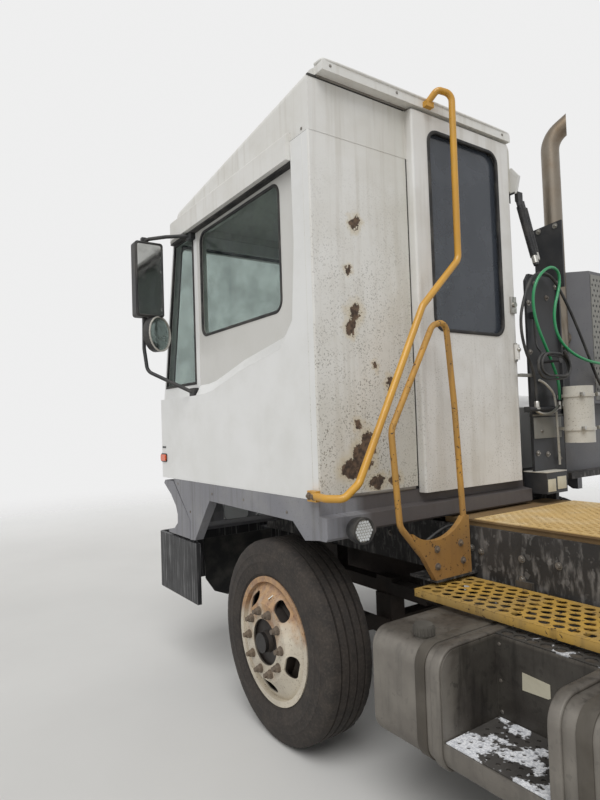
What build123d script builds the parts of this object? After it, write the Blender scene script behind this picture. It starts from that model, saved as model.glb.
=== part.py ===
from build123d import *
import math
import os

# Terminal tractor with a single offset cab, in millimetres.
# Front of the vehicle is -Y, its left side is +X, up is +Z. The floor is Z 0.
# Y 0 is half way between the front bumper and the end of the frame.

# Whole vehicle
front_y = -2600
rear_y = 2600
front_axle_y = -1217
rear_axle_y = 1729
body_half = 1200

# Wheels
tyre_r = 475
tyre_width = 265
front_track_half = 1055
rear_outer_x = 1050
rear_inner_x = 720
kingpin_x = 925
kingpin_r = 22
hub_bore_r = 105
running_gap = 0.05

# Frame rails
rail_x = 430
rail_top = 1000
rail_bottom = 760
rail_flange = 85
rail_wall = 10
rail_front_y = -2465
rail_end_y = 2560

# Cab
cab_right = -190
cab_left = 1200
glass_left = 1165
glass_right = -155
cab_rear = -755
cab_floor_z = 1182
pillar_y = -1950
nose_front = -2532
nose_top = 1690
seam_z = 2759
roof_z = 3035
wall = 36
side_wall = 75
right_wall = 60
skin = 30

# Rear door
hood_rear = -1000
door_left = 621
door_right = -120
door_low = 1165
door_high = 2990
door_face = -701
door_wall = 44

# Moving gear, as (y, z)
cab_pivot = (-2467, 1075)
boom_pivot = (430, 880)
lift_foot = (900, 600)
lift_head = (1450, 860)
plate_centre_y = 1600
plate_hinge_z = 1070
plate_top_z = 1172.5


def block(x, y, z):
    """Box between the given lowest and highest x, y and z."""
    size = [abs(b - a) for a, b in (x, y, z)]
    mid = [(a + b) / 2 for a, b in (x, y, z)]
    return Pos(*mid) * Box(*size)


def rod_x(x, y, z, r):
    """Cylinder along X from x[0] to x[1]."""
    middle = (x[0] + x[1]) / 2
    return Pos(middle, y, z) * Rot(0, 90, 0) * Cylinder(r, abs(x[1] - x[0]))


def rod_y(x, y, z, r):
    """Cylinder along Y from y[0] to y[1]."""
    middle = (y[0] + y[1]) / 2
    return Pos(x, middle, z) * Rot(90, 0, 0) * Cylinder(r, abs(y[1] - y[0]))


def rod_z(x, y, z, r):
    """Cylinder along Z from z[0] to z[1]."""
    return Pos(x, y, (z[0] + z[1]) / 2) * Cylinder(r, abs(z[1] - z[0]))


def side_prism(outline, x):
    """Outline of (y, z) points, carried from x[0] to x[1]."""
    face = make_face(Plane.YZ * Polyline(*outline, close=True))
    return Pos(x[0], 0, 0) * extrude(face, amount=x[1] - x[0], dir=(1, 0, 0))


def rear_prism(outline, y):
    """Outline of (x, z) points, carried from y[0] to y[1]."""
    face = make_face(Polyline(*[(px, 0, pz) for px, pz in outline], close=True))
    return Pos(0, y[0], 0) * extrude(face, amount=y[1] - y[0], dir=(0, 1, 0))


def plan_prism(outline, z):
    """Outline of (x, y) points, carried from z[0] to z[1]."""
    face = make_face(Polyline(*outline, close=True))
    return Pos(0, 0, z[0]) * extrude(face, amount=z[1] - z[0], dir=(0, 0, 1))


def rounded_side(y, z, r, x):
    """Rounded rectangle seen from the side, carried from x[0] to x[1]."""
    shape = block(x, y, z)
    return fillet(shape.edges().filter_by(Axis.X), r)


def rounded_rear(x, z, r, y):
    """Rounded rectangle seen from the rear, carried from y[0] to y[1]."""
    shape = block(x, y, z)
    return fillet(shape.edges().filter_by(Axis.Y), r)


def ring(section):
    """Closed (x, radius) outline turned about the X axis."""
    return revolve(make_face(Polyline(*[(px, 0, pr) for px, pr in section], close=True)), axis=Axis.X)


def tube(points, bends, r):
    """Round bar along straight runs joined by arcs, one radius for each corner."""
    path = FilletPolyline(*points, radius=bends)
    start = Plane(origin=path @ 0, z_dir=path % 0)
    return sweep(start * Circle(r), path=path)


def straight_rod(start, end, r):
    """Cylinder between two points."""
    along = Vector(*end) - Vector(*start)
    return Solid.make_cylinder(r, along.length, Plane(origin=start, z_dir=along))


def mirrored(shape):
    """The same shape on the other side of the vehicle."""
    return mirror(shape, about=Plane.YZ)


parts = {}

# Frame: two channel rails with crossmembers riveted between their webs, each piece a solid of its own
pivot_bore = rod_x((-440, 440), boom_pivot[0], boom_pivot[1], 30 + running_gap)
web_x = rail_x - rail_wall
rails = []
for side in (1, -1):
    rail = block((side * web_x, side * rail_x), (rail_front_y, rail_end_y), (rail_bottom, rail_top))
    for low in (rail_bottom, rail_top - rail_wall):
        flange_x = (side * (rail_x - rail_flange), side * rail_x)
        rail += block(flange_x, (rail_front_y, rail_end_y), (low, low + rail_wall))
    rails.append(rail - pivot_bore)
crossmembers = [  # y of the centre, bottom, top, width along Y
    (-2440, 780, 960, 30),
    (-900, 775, 900, 80),
    (-200, 775, 960, 80),
    (2180, 775, 960, 80),
    (2530, 770, 990, 60),
]
members = []
for y, low, high, width in crossmembers:
    members.append(block((-web_x, web_x), (y - width / 2, y + width / 2), (low, high)))
# the front one carries the cab's hinge plates, the rear one the towing block
hinge_pin_r = 16
hinge_eye_r = 30
for side in (1, -1):
    for inner, outer in ((240, 258), (282, 300)):
        plate_x = (side * inner, side * outer)
        members[0] += block(plate_x, (-2494, -2434), (900, cab_pivot[1]))
        members[0] += rod_x(plate_x, cab_pivot[0], cab_pivot[1], hinge_eye_r)
members[0] -= rod_x((-310, 310), cab_pivot[0], cab_pivot[1], hinge_pin_r + running_gap)
members[-1] += block((-150, 150), (2555, rear_y), (800, 940))
members[-1] -= rod_y(0, (2490, rear_y + 10), 870, 30)
brackets = []
for side in (1, -1):
    # boom bearing, and the lift cylinder's stub below the rail
    bearing = block((side * 300, side * web_x), (boom_pivot[0] - 60, boom_pivot[0] + 60), (775, 960))
    brackets.append(bearing - pivot_bore)
    stub = block((side * 345, side * rail_x), (lift_foot[0] - 40, lift_foot[0] + 40), (560, rail_bottom))
    brackets.append(stub + rod_x((side * 150, side * 350), lift_foot[0], lift_foot[1], 20))
# platform to the right of the cab, and the plate that carries the lower grab rail
platform = block((-1160, -rail_x), (-985, -610), (1150, cab_floor_z))
platform += block((-460, -rail_x), (-985, -710), (900, cab_floor_z))
rail_shelf = block((rail_x, 705), (-745, -580), (790, 800)) + block((rail_x, 700), (-668, -660), (760, 795))
parts["frame"] = Compound(rails + members + brackets + [platform, rail_shelf])

# Front bumper: pressed steel, wrapped round both corners
bumper_z = (462, 818)
bumper_wall = 25
bumper_end = -1992
bumper_outer = block((-body_half, body_half), (front_y, bumper_end), bumper_z)
bumper_outer = fillet(bumper_outer.edges().filter_by(Axis.Z).sort_by(Axis.Y)[:2], 45)
inner_half = body_half - bumper_wall
bumper_inner = block((-inner_half, inner_half), (front_y + bumper_wall, bumper_end + 50), (450, 840))
bumper_inner = fillet(bumper_inner.edges().filter_by(Axis.Z).sort_by(Axis.Y)[:2], 20)
bumper = bumper_outer - bumper_inner
for side in (1, -1):
    bumper += block((side * 360, side * rail_x), (front_y + 20, -2400), (640, rail_bottom - 1))
    bumper -= rounded_rear((side * 560, side * 760), (560, 640), 20, (front_y - 5, front_y + 60))
bumper -= rod_y(0, (front_y - 5, front_y + 60), 640, 45)
parts["front_bumper"] = bumper

# Front fascia below the nose: a hollow band that falls back in a curve, with two headlamps a side
fascia_front = [  # y, z down the front of the band
    (-2470, 1165), (-2490, 1144), (-2376, 1078), (-2300, 1010), (-2276, 960), (-2278, 906), (-2330, 868),
    (-2422, 851),
]
fascia = side_prism(fascia_front + [(-2422, 832), (-2095, 832), (-2092, 946), (-2340, 1165)], (-1195, 1195))
fascia_hollow = [
    (-2440, 1200), (-2440, 1140), (-2350, 1090), (-2270, 1015), (-2244, 950), (-2248, 890), (-2300, 850),
    (-2300, 800), (-2000, 800), (-2000, 1200),
]
fascia -= side_prism(fascia_hollow, (-1165, 1165))
for side in (1, -1):
    # clear of the hinge's plates and of the rails
    fascia -= block((side * 232, side * 308), (-2540, -2200), (890, 1200))
    fascia -= block((side * 340, side * 436), (-2540, -2200), (825, rail_top + 8))
lamp_x = (560, 800)
lamp_z = (895, 1025)
for side in (1, -1):
    for centre in lamp_x:
        cut_x = (side * centre - 90, side * centre + 90)
        fascia -= rounded_rear(cut_x, (lamp_z[0] - 6, lamp_z[1] + 6), 25, (-2400, -2200))
parts["front_fascia"] = fascia
headlamps = [
    rounded_rear((side * centre - 84, side * centre + 84), lamp_z, 22, (-2310, -2230))
    for side in (1, -1) for centre in lamp_x
]
parts["headlamps"] = Compound(headlamps)

# Radiator and engine, plain blocks between the rails
radiator = block((-340, 340), (-2215, -2145), (640, 1140))
engine = block((-300, 300), (-2100, -1080), (590, 1130))
parts["engine_and_radiator"] = Compound([radiator, engine])

# Front axle: a beam dropped between the springs
beam_outline = [  # x, z
    (-840, 500), (-840, 420), (-560, 400), (-460, 340), (460, 340), (560, 400), (840, 420),
    (840, 500), (560, 480), (460, 430), (-460, 430), (-560, 480),
]
spring_leaves = [(560, 580, 620), (582, 602, 760), (604, 624, 900)]  # bottom, top, length
front_axle = rear_prism(beam_outline, (front_axle_y - 45, front_axle_y + 45))
for side in (1, -1):
    front_axle += rod_z(side * kingpin_x, front_axle_y, (400, 520), 55)
    front_axle += block((side * 830, side * kingpin_x), (front_axle_y - 40, front_axle_y + 40), (415, 505))
    front_axle -= rod_z(side * kingpin_x, front_axle_y, (390, 530), kingpin_r + running_gap)
    front_axle += block((side * 350, side * 450), (front_axle_y - 60, front_axle_y + 60), (420, 560))
    spring_x = (side * 360, side * 440)
    front_axle += block(spring_x, (front_axle_y - 60, front_axle_y + 60), (560, 650))
    for low, high, length in spring_leaves:
        front_axle += block(spring_x, (front_axle_y - length / 2, front_axle_y + length / 2), (low, high + 2))
    for end in (-1, 1):
        hanger_y = front_axle_y + end * 450
        front_axle += block(spring_x, (hanger_y - 40, hanger_y + 40), (604, rail_bottom - 1))
parts["front_axle"] = front_axle


def knuckle(side):
    """Steering knuckle: a fork on the kingpin and the wheel spindle."""
    x = side * kingpin_x
    shape = rod_z(x, front_axle_y, (360, 560), kingpin_r)
    for low in (360, 522):
        shape += rod_z(x, front_axle_y, (low, low + 38), 52)
        shape += block((x, side * 990), (front_axle_y - 45, front_axle_y + 45), (low, low + 38))
    shape += block((side * 982, side * 1004), (front_axle_y - 60, front_axle_y + 60), (360, 560))
    shape += rod_x((side * 1000, side * 1150), front_axle_y, tyre_r, 38)
    shape += block((side * 860, side * 1000), (front_axle_y + 55, front_axle_y + 95), (365, 395))
    shape += block((side * 960, side * 1000), (front_axle_y + 40, front_axle_y + 70), (365, 395))
    return shape


parts["knuckle_left"] = knuckle(1)
parts["knuckle_right"] = knuckle(-1)


def tyre(x):
    """Tyre with its middle at x: one ring of rubber from bead to tread."""
    half = tyre_width / 2
    wall_side = [(106, 282), (107, 299), (half, 375), (118, 448), (92, tyre_r - 4), (0, tyre_r)]  # x, radius
    section = wall_side + [(-px, pr) for px, pr in reversed(wall_side[:-1])]
    return Pos(x, 0, tyre_r) * ring(section)


def rim(x, face_x, dish, seat_r, hand_holes):
    """Steel rim with its middle at x: the rolled barrel and the dished disc that is welded into it.

    face_x is the bolting face, dish +1 or -1 the way that the disc bulges.
    """
    barrel = [  # x, radius: flange, bead seat and drop well
        (-120, 298), (-109, 298), (-109, 281), (-60, 276), (-40, 258), (10, 258), (40, 276), (109, 281),
        (109, 298), (120, 298), (120, 272), (46, 266), (14, 248), (-44, 248), (-66, 266), (-120, 272),
    ]
    outer_line = [(0, hub_bore_r), (0, 178), (24, 214), (62, seat_r)]  # depth behind the face, radius
    inner_line = [(76, seat_r), (38, 210), (14, 172), (14, hub_bore_r)]
    disc = ring([(face_x - depth * dish, radius) for depth, radius in outer_line + inner_line])
    if hand_holes:
        slot = fillet(block((face_x - 90, face_x + 90), (-54, 54), (177, 237)).edges().filter_by(Axis.X), 29)
        for turn in range(5):
            disc -= Rot(36 + 72 * turn, 0, 0) * slot
    barrel = ring(barrel)
    return [Pos(x, 0, 0) * barrel, Pos(x, 0, 0) * (disc - barrel)]


# Hubs, as (x, radius) outlines: the front one is set back in the disc's bore, the rear one carries both rims
front_hub = [(1150, 0), (1150, 178), (1197, 178), (1197, 109), (1193, 109), (1193, 46), (1233, 46), (1233, 0)]
rear_hub = [(700, 0), (700, 178), (951, 178), (951, 96), (1110, 96), (1110, 0)]
front_spindle = rod_x((1000, 1155), 0, 0, 38 + running_gap)
rear_spindle = rod_x((600, 940), 0, 0, 60 + running_gap)
front_rim = rim(front_track_half, 155, 1, 274, True)
rear_rims = rim(rear_outer_x, -100, -1, 252, True) + rim(rear_inner_x, 140, 1, 274, False)
wheels = [  # node, axle y, the rims' solids, hub, spindle bore
    ("rim_front", front_axle_y, front_rim, ring(front_hub), front_spindle),
    ("rims_rear", rear_axle_y, rear_rims, ring(rear_hub), rear_spindle),
]
for node, axle_y, steel, hub, bore in wheels:
    place = Pos(0, axle_y, tyre_r)
    solids = [place * (piece - hub) for piece in steel] + [place * (hub - bore)]
    parts[node + "_left"] = Compound(solids)
    parts[node + "_right"] = Compound([mirrored(piece) for piece in solids])
for name, side in (("left", 1), ("right", -1)):
    parts["tyre_front_" + name] = Pos(0, front_axle_y, 0) * tyre(side * front_track_half)
    twins = [Pos(0, rear_axle_y, 0) * tyre(side * x) for x in (rear_outer_x, rear_inner_x)]
    parts["tyres_rear_" + name] = Compound(twins)

# Rear axle: tubes, the differential bowl, the spindles and the drive shaft
rear_axle = rod_x((-560, 560), rear_axle_y, tyre_r, 75)
rear_axle += rod_x((-935, 935), rear_axle_y, tyre_r, 60)
bowl = [(-190, 0), (-120, 150), (-60, 190), (60, 190), (120, 150), (190, 0)]  # x, radius
rear_axle += Pos(0, rear_axle_y, tyre_r) * ring(bowl)
rear_axle += rod_y(0, (rear_axle_y - 300, rear_axle_y), tyre_r + 60, 85)
for side in (1, -1):
    rear_axle += block((side * 360, side * 440), (rear_axle_y - 90, rear_axle_y + 90), (520, rail_bottom - 1))
rear_axle += rod_y(0, (-1079, rear_axle_y - 290), 610, 45)
parts["rear_axle"] = rear_axle

# Fuel tank on the left, with a step let into it
tank_x = (500, 1150)
tank_y = (-520, 620)
tank_z = (320, 720)
step_y = (-167, 223)
tank = rounded_rear(tank_x, tank_z, 75, tank_y)
tank = fillet(tank.edges().group_by(Axis.Y)[0] + tank.edges().group_by(Axis.Y)[-1], 18)
tank -= block((860, 1200), step_y, (425, 760))
tank += rod_z(1065, -319, (715, 760), 34)
for y in (-330, 500):
    tank += block((rail_x, 520), (y - 40, y + 40), (400, 690))
    tank += block((rail_x, 446), (y - 40, y + 40), (680, 800))
parts["fuel_tank"] = tank

# Yellow step plank and deck plate, each a folded sheet
plank = block((460, 800), (-627, 640), (745, 775)) - block((466, 794), (-621, 634), (740, 770))
for y in (-620, -230, 60, 400):
    plank += block((rail_x, 470), (y, y + 30), (745, 770))
    plank += block((465, 795), (y, y + 8), (747, 772))
parts["step_plank"] = plank
deck = block((-420, 420), (-780, 330), (1022, 1030))
for side in (1, -1):
    deck += block((side * 404, side * 412), (-780, 330), (rail_top, 1026))
parts["deck_plate"] = deck

# Lower grab rail with its base plate, whose top edge is cut out in an arc
rail_r = 14
grab_y = -597
lower_points = [
    (695, grab_y, 830), (898, grab_y, 1056), (927, grab_y, 1466), (650, grab_y, 1930), (560, grab_y, 1955),
    (525, grab_y, 1568), (485, grab_y, 830),
]
lower_rail = tube(lower_points, [60, 90, 60, 40, 90], rail_r)
base_outline = [(705, 800), (470, 800), (475, 1060), (510, 1060), (835, 1020), (835, 1000)]  # x, z
base = rear_prism(base_outline, (grab_y - 14, grab_y + 14))
base -= rod_y(695, (grab_y - 30, grab_y + 30), 1218, 244)
base -= rear_prism([(705, 780), (1000, 1115), (1000, 780)], (grab_y - 30, grab_y + 30))
parts["lower_grab_rail"] = lower_rail + base

# Battery box, air tanks, exhaust and the equipment to the right of the cab
battery = fillet(block((-1130, -490), (-420, 560), (380, 740)).edges().filter_by(Axis.Y), 25)
for y in (-330, 480):
    battery += block((-500, -rail_x), (y - 40, y + 40), (400, 800))
for z in (500, 620):
    battery += block((-1136, -1120), (-400, 540), (z, z + 12))
parts["battery_box"] = battery
air_tanks = []
for side in (1, -1):
    vessel = rod_y(side * 620, (700, 1180), 620, 110)
    vessel = fillet(vessel.edges(), 35)
    for y in (800, 1080):
        vessel += block((side * rail_x, side * 600), (y - 20, y + 20), (640, 800))
    air_tanks.append(vessel)
parts["air_tanks"] = Compound(air_tanks)

panel_y = (-700, -685)
box_outline = [(-1150, -980), (-630, -980), (-630, -712), (-724, -617), (-1150, -617)]  # x, y
treatment = plan_prism(box_outline, (1565, 2350))
treatment += block((-1150, -505), panel_y, (cab_floor_z, 1566))
treatment += block((-1150, -640), (-985, -970), (cab_floor_z, 1570))
for x in (-1145, -660):
    treatment += block((x, x + 12), (-975, -690), (cab_floor_z, 1570))
treatment += block((-1000, -940), (-620, -530), (1770, 1830))
treatment += block((-1040, -980), (-620, -560), (1560, 1620))
parts["treatment_box"] = treatment

# The stack leans to the right at its top and is cut upright at its mouth
stack_points = [(-570, -728, 1900), (-570, -728, 3149), (-640, -608, 3247)]
stack = tube(stack_points, [150], 51) - tube(stack_points, [150], 47)
stack -= Pos(-618, -646, 3215) * Rot(0, 0, 30) * Pos(0, 200, 0) * Box(400, 400, 400)
stack += rod_x((-630, -605), -728, 1960, 40)
parts["exhaust_stack"] = stack

# Hose panel: two plates, the stack's guard, the sockets, the coil's peg and the housing at its foot
guard = side_prism([(-817, 2240), (-640, 2240), (-640, 2626), (-817, 2612)], (-512, -500))
guard += block((-625, -500), (-817, -807), (2290, 2600))
panel = guard + rear_prism([(-200, 1500), (-500, 1500), (-500, 2290), (-230, 2290), (-200, 2250)], panel_y)
panel += block((-502, -490), (-700, -670), (1500, 2290))
panel += rear_prism([(-205, cab_floor_z), (-500, cab_floor_z), (-500, 1510), (-205, 1510)], panel_y)
panel += block((-395, -205), (-755, -617), (1085, 1200))
panel += rod_y(-290, (-690, -560), 1799, 8)
panel += rod_y(-290, (-562, -556), 1799, 14)
panel += rod_x((-415, -130), -655, 1540, 12)
for x in (-400, -150):
    panel += block((x - 12, x + 12), (-690, -655), (1525, 1555))
panel += rod_z(-205, -655, (1540, 1575), 14)
panel += rod_z(-400, -640, (1540, 1590), 15)
panel += block((-254, -226), (-686, -654), (2040, 2075))
parts["hose_panel"] = panel
canister = rod_z(-398, -532, (1355, 1658), 76)
for z in (1420, 1600):
    canister += rod_z(-398, -532, (z, z + 16), 82)
    canister += block((-476, -446), (-684.8, -545), (z, z + 16))
parts["filter_canister"] = canister


def glasshouse(inset):
    """The windscreen part of the cab: upright sides and a raked front, shrunk by inset."""
    rear = pillar_y + 40
    outline = [(rear, nose_top), (-2520 + inset, nose_top), (-2290 + inset, seam_z), (rear, seam_z)]
    return side_prism(outline, (glass_right - 3 + inset, glass_left + 3 - inset))


# Cab: outer form less inner form, split where the real panels meet
window_y = (-1910, -1040)
window_z = (2032, 2645)
inner_left = cab_left - side_wall
inner_right = cab_right + right_wall
cabin_outer = block((cab_right, cab_left), (pillar_y, cab_rear), (cab_floor_z, seam_z))
left_pocket = [  # y, z of the crease that runs up from the pillar's foot
    (pillar_y - 50, 1691), (-1835, 1693), (-1731, 1704), (-1402, 1786), (-1018, 1853), (-912, 1966),
    (-880, 2300), (-885, seam_z + 5), (pillar_y - 50, seam_z + 5),
]
cabin_outer -= side_prism(left_pocket, (glass_left, cab_left + 10))
right_pocket = [(pillar_y - 50, 1691), (-860, 1691), (-860, seam_z + 5), (pillar_y - 50, seam_z + 5)]
cabin_outer -= side_prism(right_pocket, (cab_right - 10, glass_right))
cabin_inner = block(
    (inner_right, inner_left), (pillar_y - 60, cab_rear - wall), (cab_floor_z + wall, seam_z + 5)
)
door_hole = block((-80, 585), (-900, -700), (1235, seam_z + 5))
shell = cabin_outer - cabin_inner - door_hole
for x in ((1100, 1300), (-250, -100)):
    shell -= rounded_side(window_y, window_z, 60, x)
ends = (pillar_y - 10, cab_rear + 5)
floor_top = cab_floor_z + wall
panels = [  # node, x, y, z
    ("cab_floor", (inner_right, inner_left), ends, (cab_floor_z - 5, floor_top)),
    ("cab_side_left", (inner_left, cab_left + 10), ends, (cab_floor_z - 5, seam_z + 5)),
    ("cab_side_right", (cab_right - 10, inner_right), ends, (cab_floor_z - 5, seam_z + 5)),
    ("cab_rear_wall", (inner_right, inner_left), (cab_rear - wall, cab_rear + 5), (floor_top, seam_z + 5)),
]
for name, x, y, z in panels:
    parts[name] = shell & block(x, y, z)

front_shell = glasshouse(0) - glasshouse(wall)
front_shell &= block((-300, 1300), (-2600, pillar_y - 0.5), (nose_top + 0.5, seam_z - 0.5))
quarter_outline = [(-2000, 1762), (-2476, 1762), (-2282, 2672), (-2000, 2672)]
quarter = side_prism(quarter_outline, (-300, 1300))
screen = block((-110, 1120), (-2600, -2200), (1765, 2690))
parts["cab_front_frame"] = front_shell - quarter - screen
pane = glasshouse(12) - glasshouse(18)
side_glass = side_prism([(-2004, 1766), (-2462, 1766), (-2270, 2668), (-2004, 2668)], (-300, 1300))
glass = list((pane & (side_glass - block((100, 900), (-2600, -1900), (1700, 2800)))).solids())
glass += list((pane & block((-105, 1115), (-2600, -2200), (1770, 2685))).solids())
glass = [piece for piece in glass if piece.volume > 1000]
for x in ((1143, 1149), (-149, -143)):
    glass.append(rounded_side(window_y, window_z, 60, x).solid())
parts["cab_glass"] = Compound(glass)

# Nose and the low hood to the right of the cab, open below, with the lugs that the cab tilts on
nose = block((-body_half, body_half), (nose_front, pillar_y), (cab_floor_z, nose_top))
nose = fillet(nose.edges().filter_by(Axis.Z).sort_by(Axis.Y)[:2], 40)
nose += side_prism(
    [(pillar_y - 60, nose_top), (pillar_y - 60, cab_floor_z), (hood_rear, cab_floor_z), (hood_rear, 1560),
     (-1300, 1640), (-1700, nose_top)],
    (-body_half, cab_right - 15),
)
nose_inner = body_half - skin
under = cab_floor_z - 10
nose -= block((-nose_inner, nose_inner), (nose_front + skin, pillar_y + 10), (under, nose_top - skin))
nose -= side_prism(
    [(pillar_y - 100, nose_top - skin), (pillar_y - 100, under), (hood_rear - skin, under),
     (hood_rear - skin, 1530), (-1310, 1610), (-1700, nose_top - skin)],
    (-nose_inner, cab_right - 45),
)
nose -= block((-115, 1125), (-2470, pillar_y + 10), (nose_top - 40, nose_top + 10))
nose -= block((cab_right - 20, cab_left + 10), (pillar_y - 0.2, -1900), (cab_floor_z - 5, nose_top + 5))
nose += block((-400, 400), (nose_front + 25, -2444), (1184, 1230))
for side in (1, -1):
    nose += block((side * 261, side * 279), (-2490, -2446), (cab_pivot[1], 1190))
    nose += rod_x((side * 261, side * 279), cab_pivot[0], cab_pivot[1], hinge_eye_r)
    nose += rod_x((side * 236, side * 304), cab_pivot[0], cab_pivot[1], hinge_pin_r)
parts["nose_hood"] = nose

grille = rounded_rear((-1120, 1120), (1215, 1660), 40, (nose_front - 18, nose_front - 0.2))
for low in range(1280, 1600, 40):
    for x in ((-900, -40), (40, 900)):
        grille -= block(x, (nose_front - 30, nose_front + 5), (low, low + 16))
parts["grille"] = grille

# Grey wheel arch trims and the skirt across the cab's foot
trim_top = cab_floor_z - 1
arch_front = [(-2311, trim_top), (-2065, 946), (-2072, 832), (-2003, 838), (-1795, 1088)]
left_arch = arch_front + [(-953, 1076), (-862, 1004), (-757, 1018), (-757, trim_top)]
right_arch = arch_front + [(-1180, 1088), (-1040, 1000), (hood_rear, 1000), (hood_rear, trim_top)]
trim_left = side_prism(left_arch, (1150, 1203))
trim_right = side_prism(right_arch, (-1203, -1150))
skirt_outline = [(-756.5, trim_top), (-752, trim_top), (-752, 1120), (-700, 1112), (-700, 1050), (-712, 1040)]
skirt = side_prism([(-800, trim_top)] + skirt_outline[1:] + [(-800, 1040)], (cab_right, 1149.5))
skirt += side_prism(skirt_outline + [(-756.8, 1040)], (1140, 1203))
skirt += side_prism([(-757.2, 1060), (-700, 1060), (-700, 1030), (-712, 1018), (-757.2, 1018)], (940, 1203))
parts["arch_trims"] = Compound([trim_left + skirt, trim_right])

# Side markers on the nose and the round work lamp under the skirt
lamps = [rounded_side((-2504, -2420), (1289, 1332), 12, x) for x in ((1200.2, 1212), (-1212, -1200.2))]
work_lamp = rod_y(1082, (-690, -617), 1061, 55)
work_lamp = fillet(work_lamp.edges().sort_by(Axis.Y)[:1], 20) + rod_y(1082, (-699.8, -685), 1061, 20)
parts["marker_lamps"] = Compound(lamps + [work_lamp])

# Roof cap, higher towards the rear, with the eave over the rear door
roof_outline = [  # y, z
    (-2285, seam_z + 0.3), (-2285, 2830), (-2140, 2872), (-745, roof_z), (-745, seam_z + 0.3),
]
roof = side_prism(roof_outline, (cab_right, 1195))
roof = fillet(roof.edges().filter_by(Axis.Z).sort_by(Axis.Y)[:2], 150)
top_edges = [edge for edge in roof.edges() if edge.center().Z > 2940]
roof = fillet([edge for edge in top_edges if abs(edge.center().X - 502) > 600], 50)
hollow_outline = [(-2240, seam_z - 5), (-2240, 2800), (-2140, 2835), (-790, 2950), (-790, seam_z - 5)]
roof -= side_prism(hollow_outline, (cab_right + 60, 1135))
roof -= block((-80, 585), (-800, -700), (seam_z - 5, 2935))
eave_x = (-127, 1154)
eave = block(eave_x, (-745.5, -690), (3005, 3055)) + block(eave_x, (-800, -745), (roof_z - 25, 3055))
eave = fillet(eave.edges().filter_by(Axis.Y).sort_by(Axis.Z)[-2:], 20)
parts["cab_roof"] = roof + eave

# Visor: a ledge round the roof's foot, rounded at its front corners
visor_x = (-215, 1225)
visor_y = (-2350, -885)
visor = block(visor_x, visor_y, (2675, 2798))
visor = fillet(visor.edges().filter_by(Axis.Z).sort_by(Axis.Y)[:2], 170)
visor = chamfer(visor.faces().sort_by(Axis.Z)[-1].edges().sort_by(Axis.Y)[:-1], 14)
visor -= block((glass_right - 3.4, glass_left + 3.4), (-2292.5, 0), (2600, seam_z + 0.15))
visor -= block((cab_right - 0.4, 1195.4), (-2285.6, 0), (seam_z + 0.1, 2900))
visor -= side_prism([(-2200, 2670), (-2291, 2670), (-2315, 2645), (-2400, 2600), (-2200, 2600)], (-300, 1300))
visor -= glasshouse(-0.4)
visor -= block((1000, cab_left + 0.3), (-905, -880), (2600, seam_z + 0.15))
parts["roof_visor"] = visor

# Rear door, which slides to the left over the fixed panel
door = block((door_right, door_left), (door_face - door_wall, door_face), (door_low, door_high))
door = fillet(door.edges().filter_by(Axis.Z).sort_by(Axis.Y)[-2:], 12)
window = ((-16, 518), (1930, 2920))
door -= rounded_rear(*window, 70, (-800, -650))
door += rod_z(-100, door_face + 12, (1810, 1890), 14)
parts["rear_door"] = door
parts["rear_door_glass"] = rounded_rear(*window, 70, (door_face - 24, door_face - 18))

# Upper grab rail on the cab
upper_points = [
    (525, -676, 3036), (500, -640, 3085), (425, -617, 3075), (430, -617, 2265), (686, -617, 2019),
    (990, -617, 1453), (1097, -617, 1255), (1178, -617, 1200), (1222, -680, 1200), (1222, -760, 1205),
]
upper_rail = tube(upper_points, [30, 40, 60, 60, 150, 60, 35, 35], 16)
upper_rail += block((1203.3, 1228), (-800, -740), (1180, 1225))
upper_rail += block((500, 550), (-689.8, -664), (3008, 3034))
parts["upper_grab_rail"] = upper_rail


def mirrors(side):
    """A mirror arm with its tall and its round head."""
    arm_points = [
        (side * 1180, -1990, 2655), (side * 1300, -2100, 2660), (side * 1400, -2200, 2655),
        (side * 1400, -2217, 2400), (side * 1410, -2212, 1990), (side * 1400, -2190, 1850),
        (side * 1180, -2000, 1705),
    ]
    arm = tube(arm_points, [60, 40, 60, 60, 60], 11)
    head = block((side * 1295, side * 1470), (-2235, -2165), (2178, 2635))
    head = fillet(head.edges().filter_by(Axis.Y), 18)
    round_head = Pos(side * 1335, -2190, 2078) * Rot(0, 0, side * 33) * Rot(90, 0, 0) * Cylinder(108, 44)
    return arm + head + round_head


parts["mirrors"] = Compound([mirrors(1), mirrored(mirrors(1))])

# Bracket at the cab's rear corner with the two sprung sleeves that hold up the hoses
tender_x = (-200, cab_right - 0.3)
tender = side_prism([(-757, 2890), (-735, 2890), (-690, 2830), (-712, 2745), (-757, 2745)], tender_x)
tender += block(tender_x, (-757, -754), (2700, 2890))
tender += straight_rod((-212, -716, 2714), (-212, -622, 2320), 14)
tender += straight_rod((-238, -708, 2700), (-236, -630, 2345), 12)
tender += block((-240, -196), (-724, -704), (2700, 2752))
parts["hose_tender"] = tender

# Seat, and the dash with its steering wheel
seat = fillet(block((260, 780), (-1450, -950), (1500, 1620)).edges().filter_by(Axis.Y), 30)
seat += fillet(block((280, 760), (-1060, -940), (1600, 2250)).edges().filter_by(Axis.Z), 30)
seat += block((380, 660), (-1350, -1050), (floor_top + 1, 1505))
parts["seat"] = seat
dash = side_prism([(-2400, 1500), (-2100, 1560), (-2020, 1700), (-2100, 1790), (-2380, 1760)], (0, 1000))
steering = Pos(520, -1870, 1850) * Rot(-40, 0, 0)
wheel = Torus(200, 14) + Pos(0, 0, -175) * Cylinder(24, 370) + Cylinder(45, 30)
for angle in (90, 210, 330):
    wheel += Rot(0, 0, angle) * block((0, 200), (-14, 14), (-6, 6))
parts["dash"] = Compound([dash, steering * wheel - dash])

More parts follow.
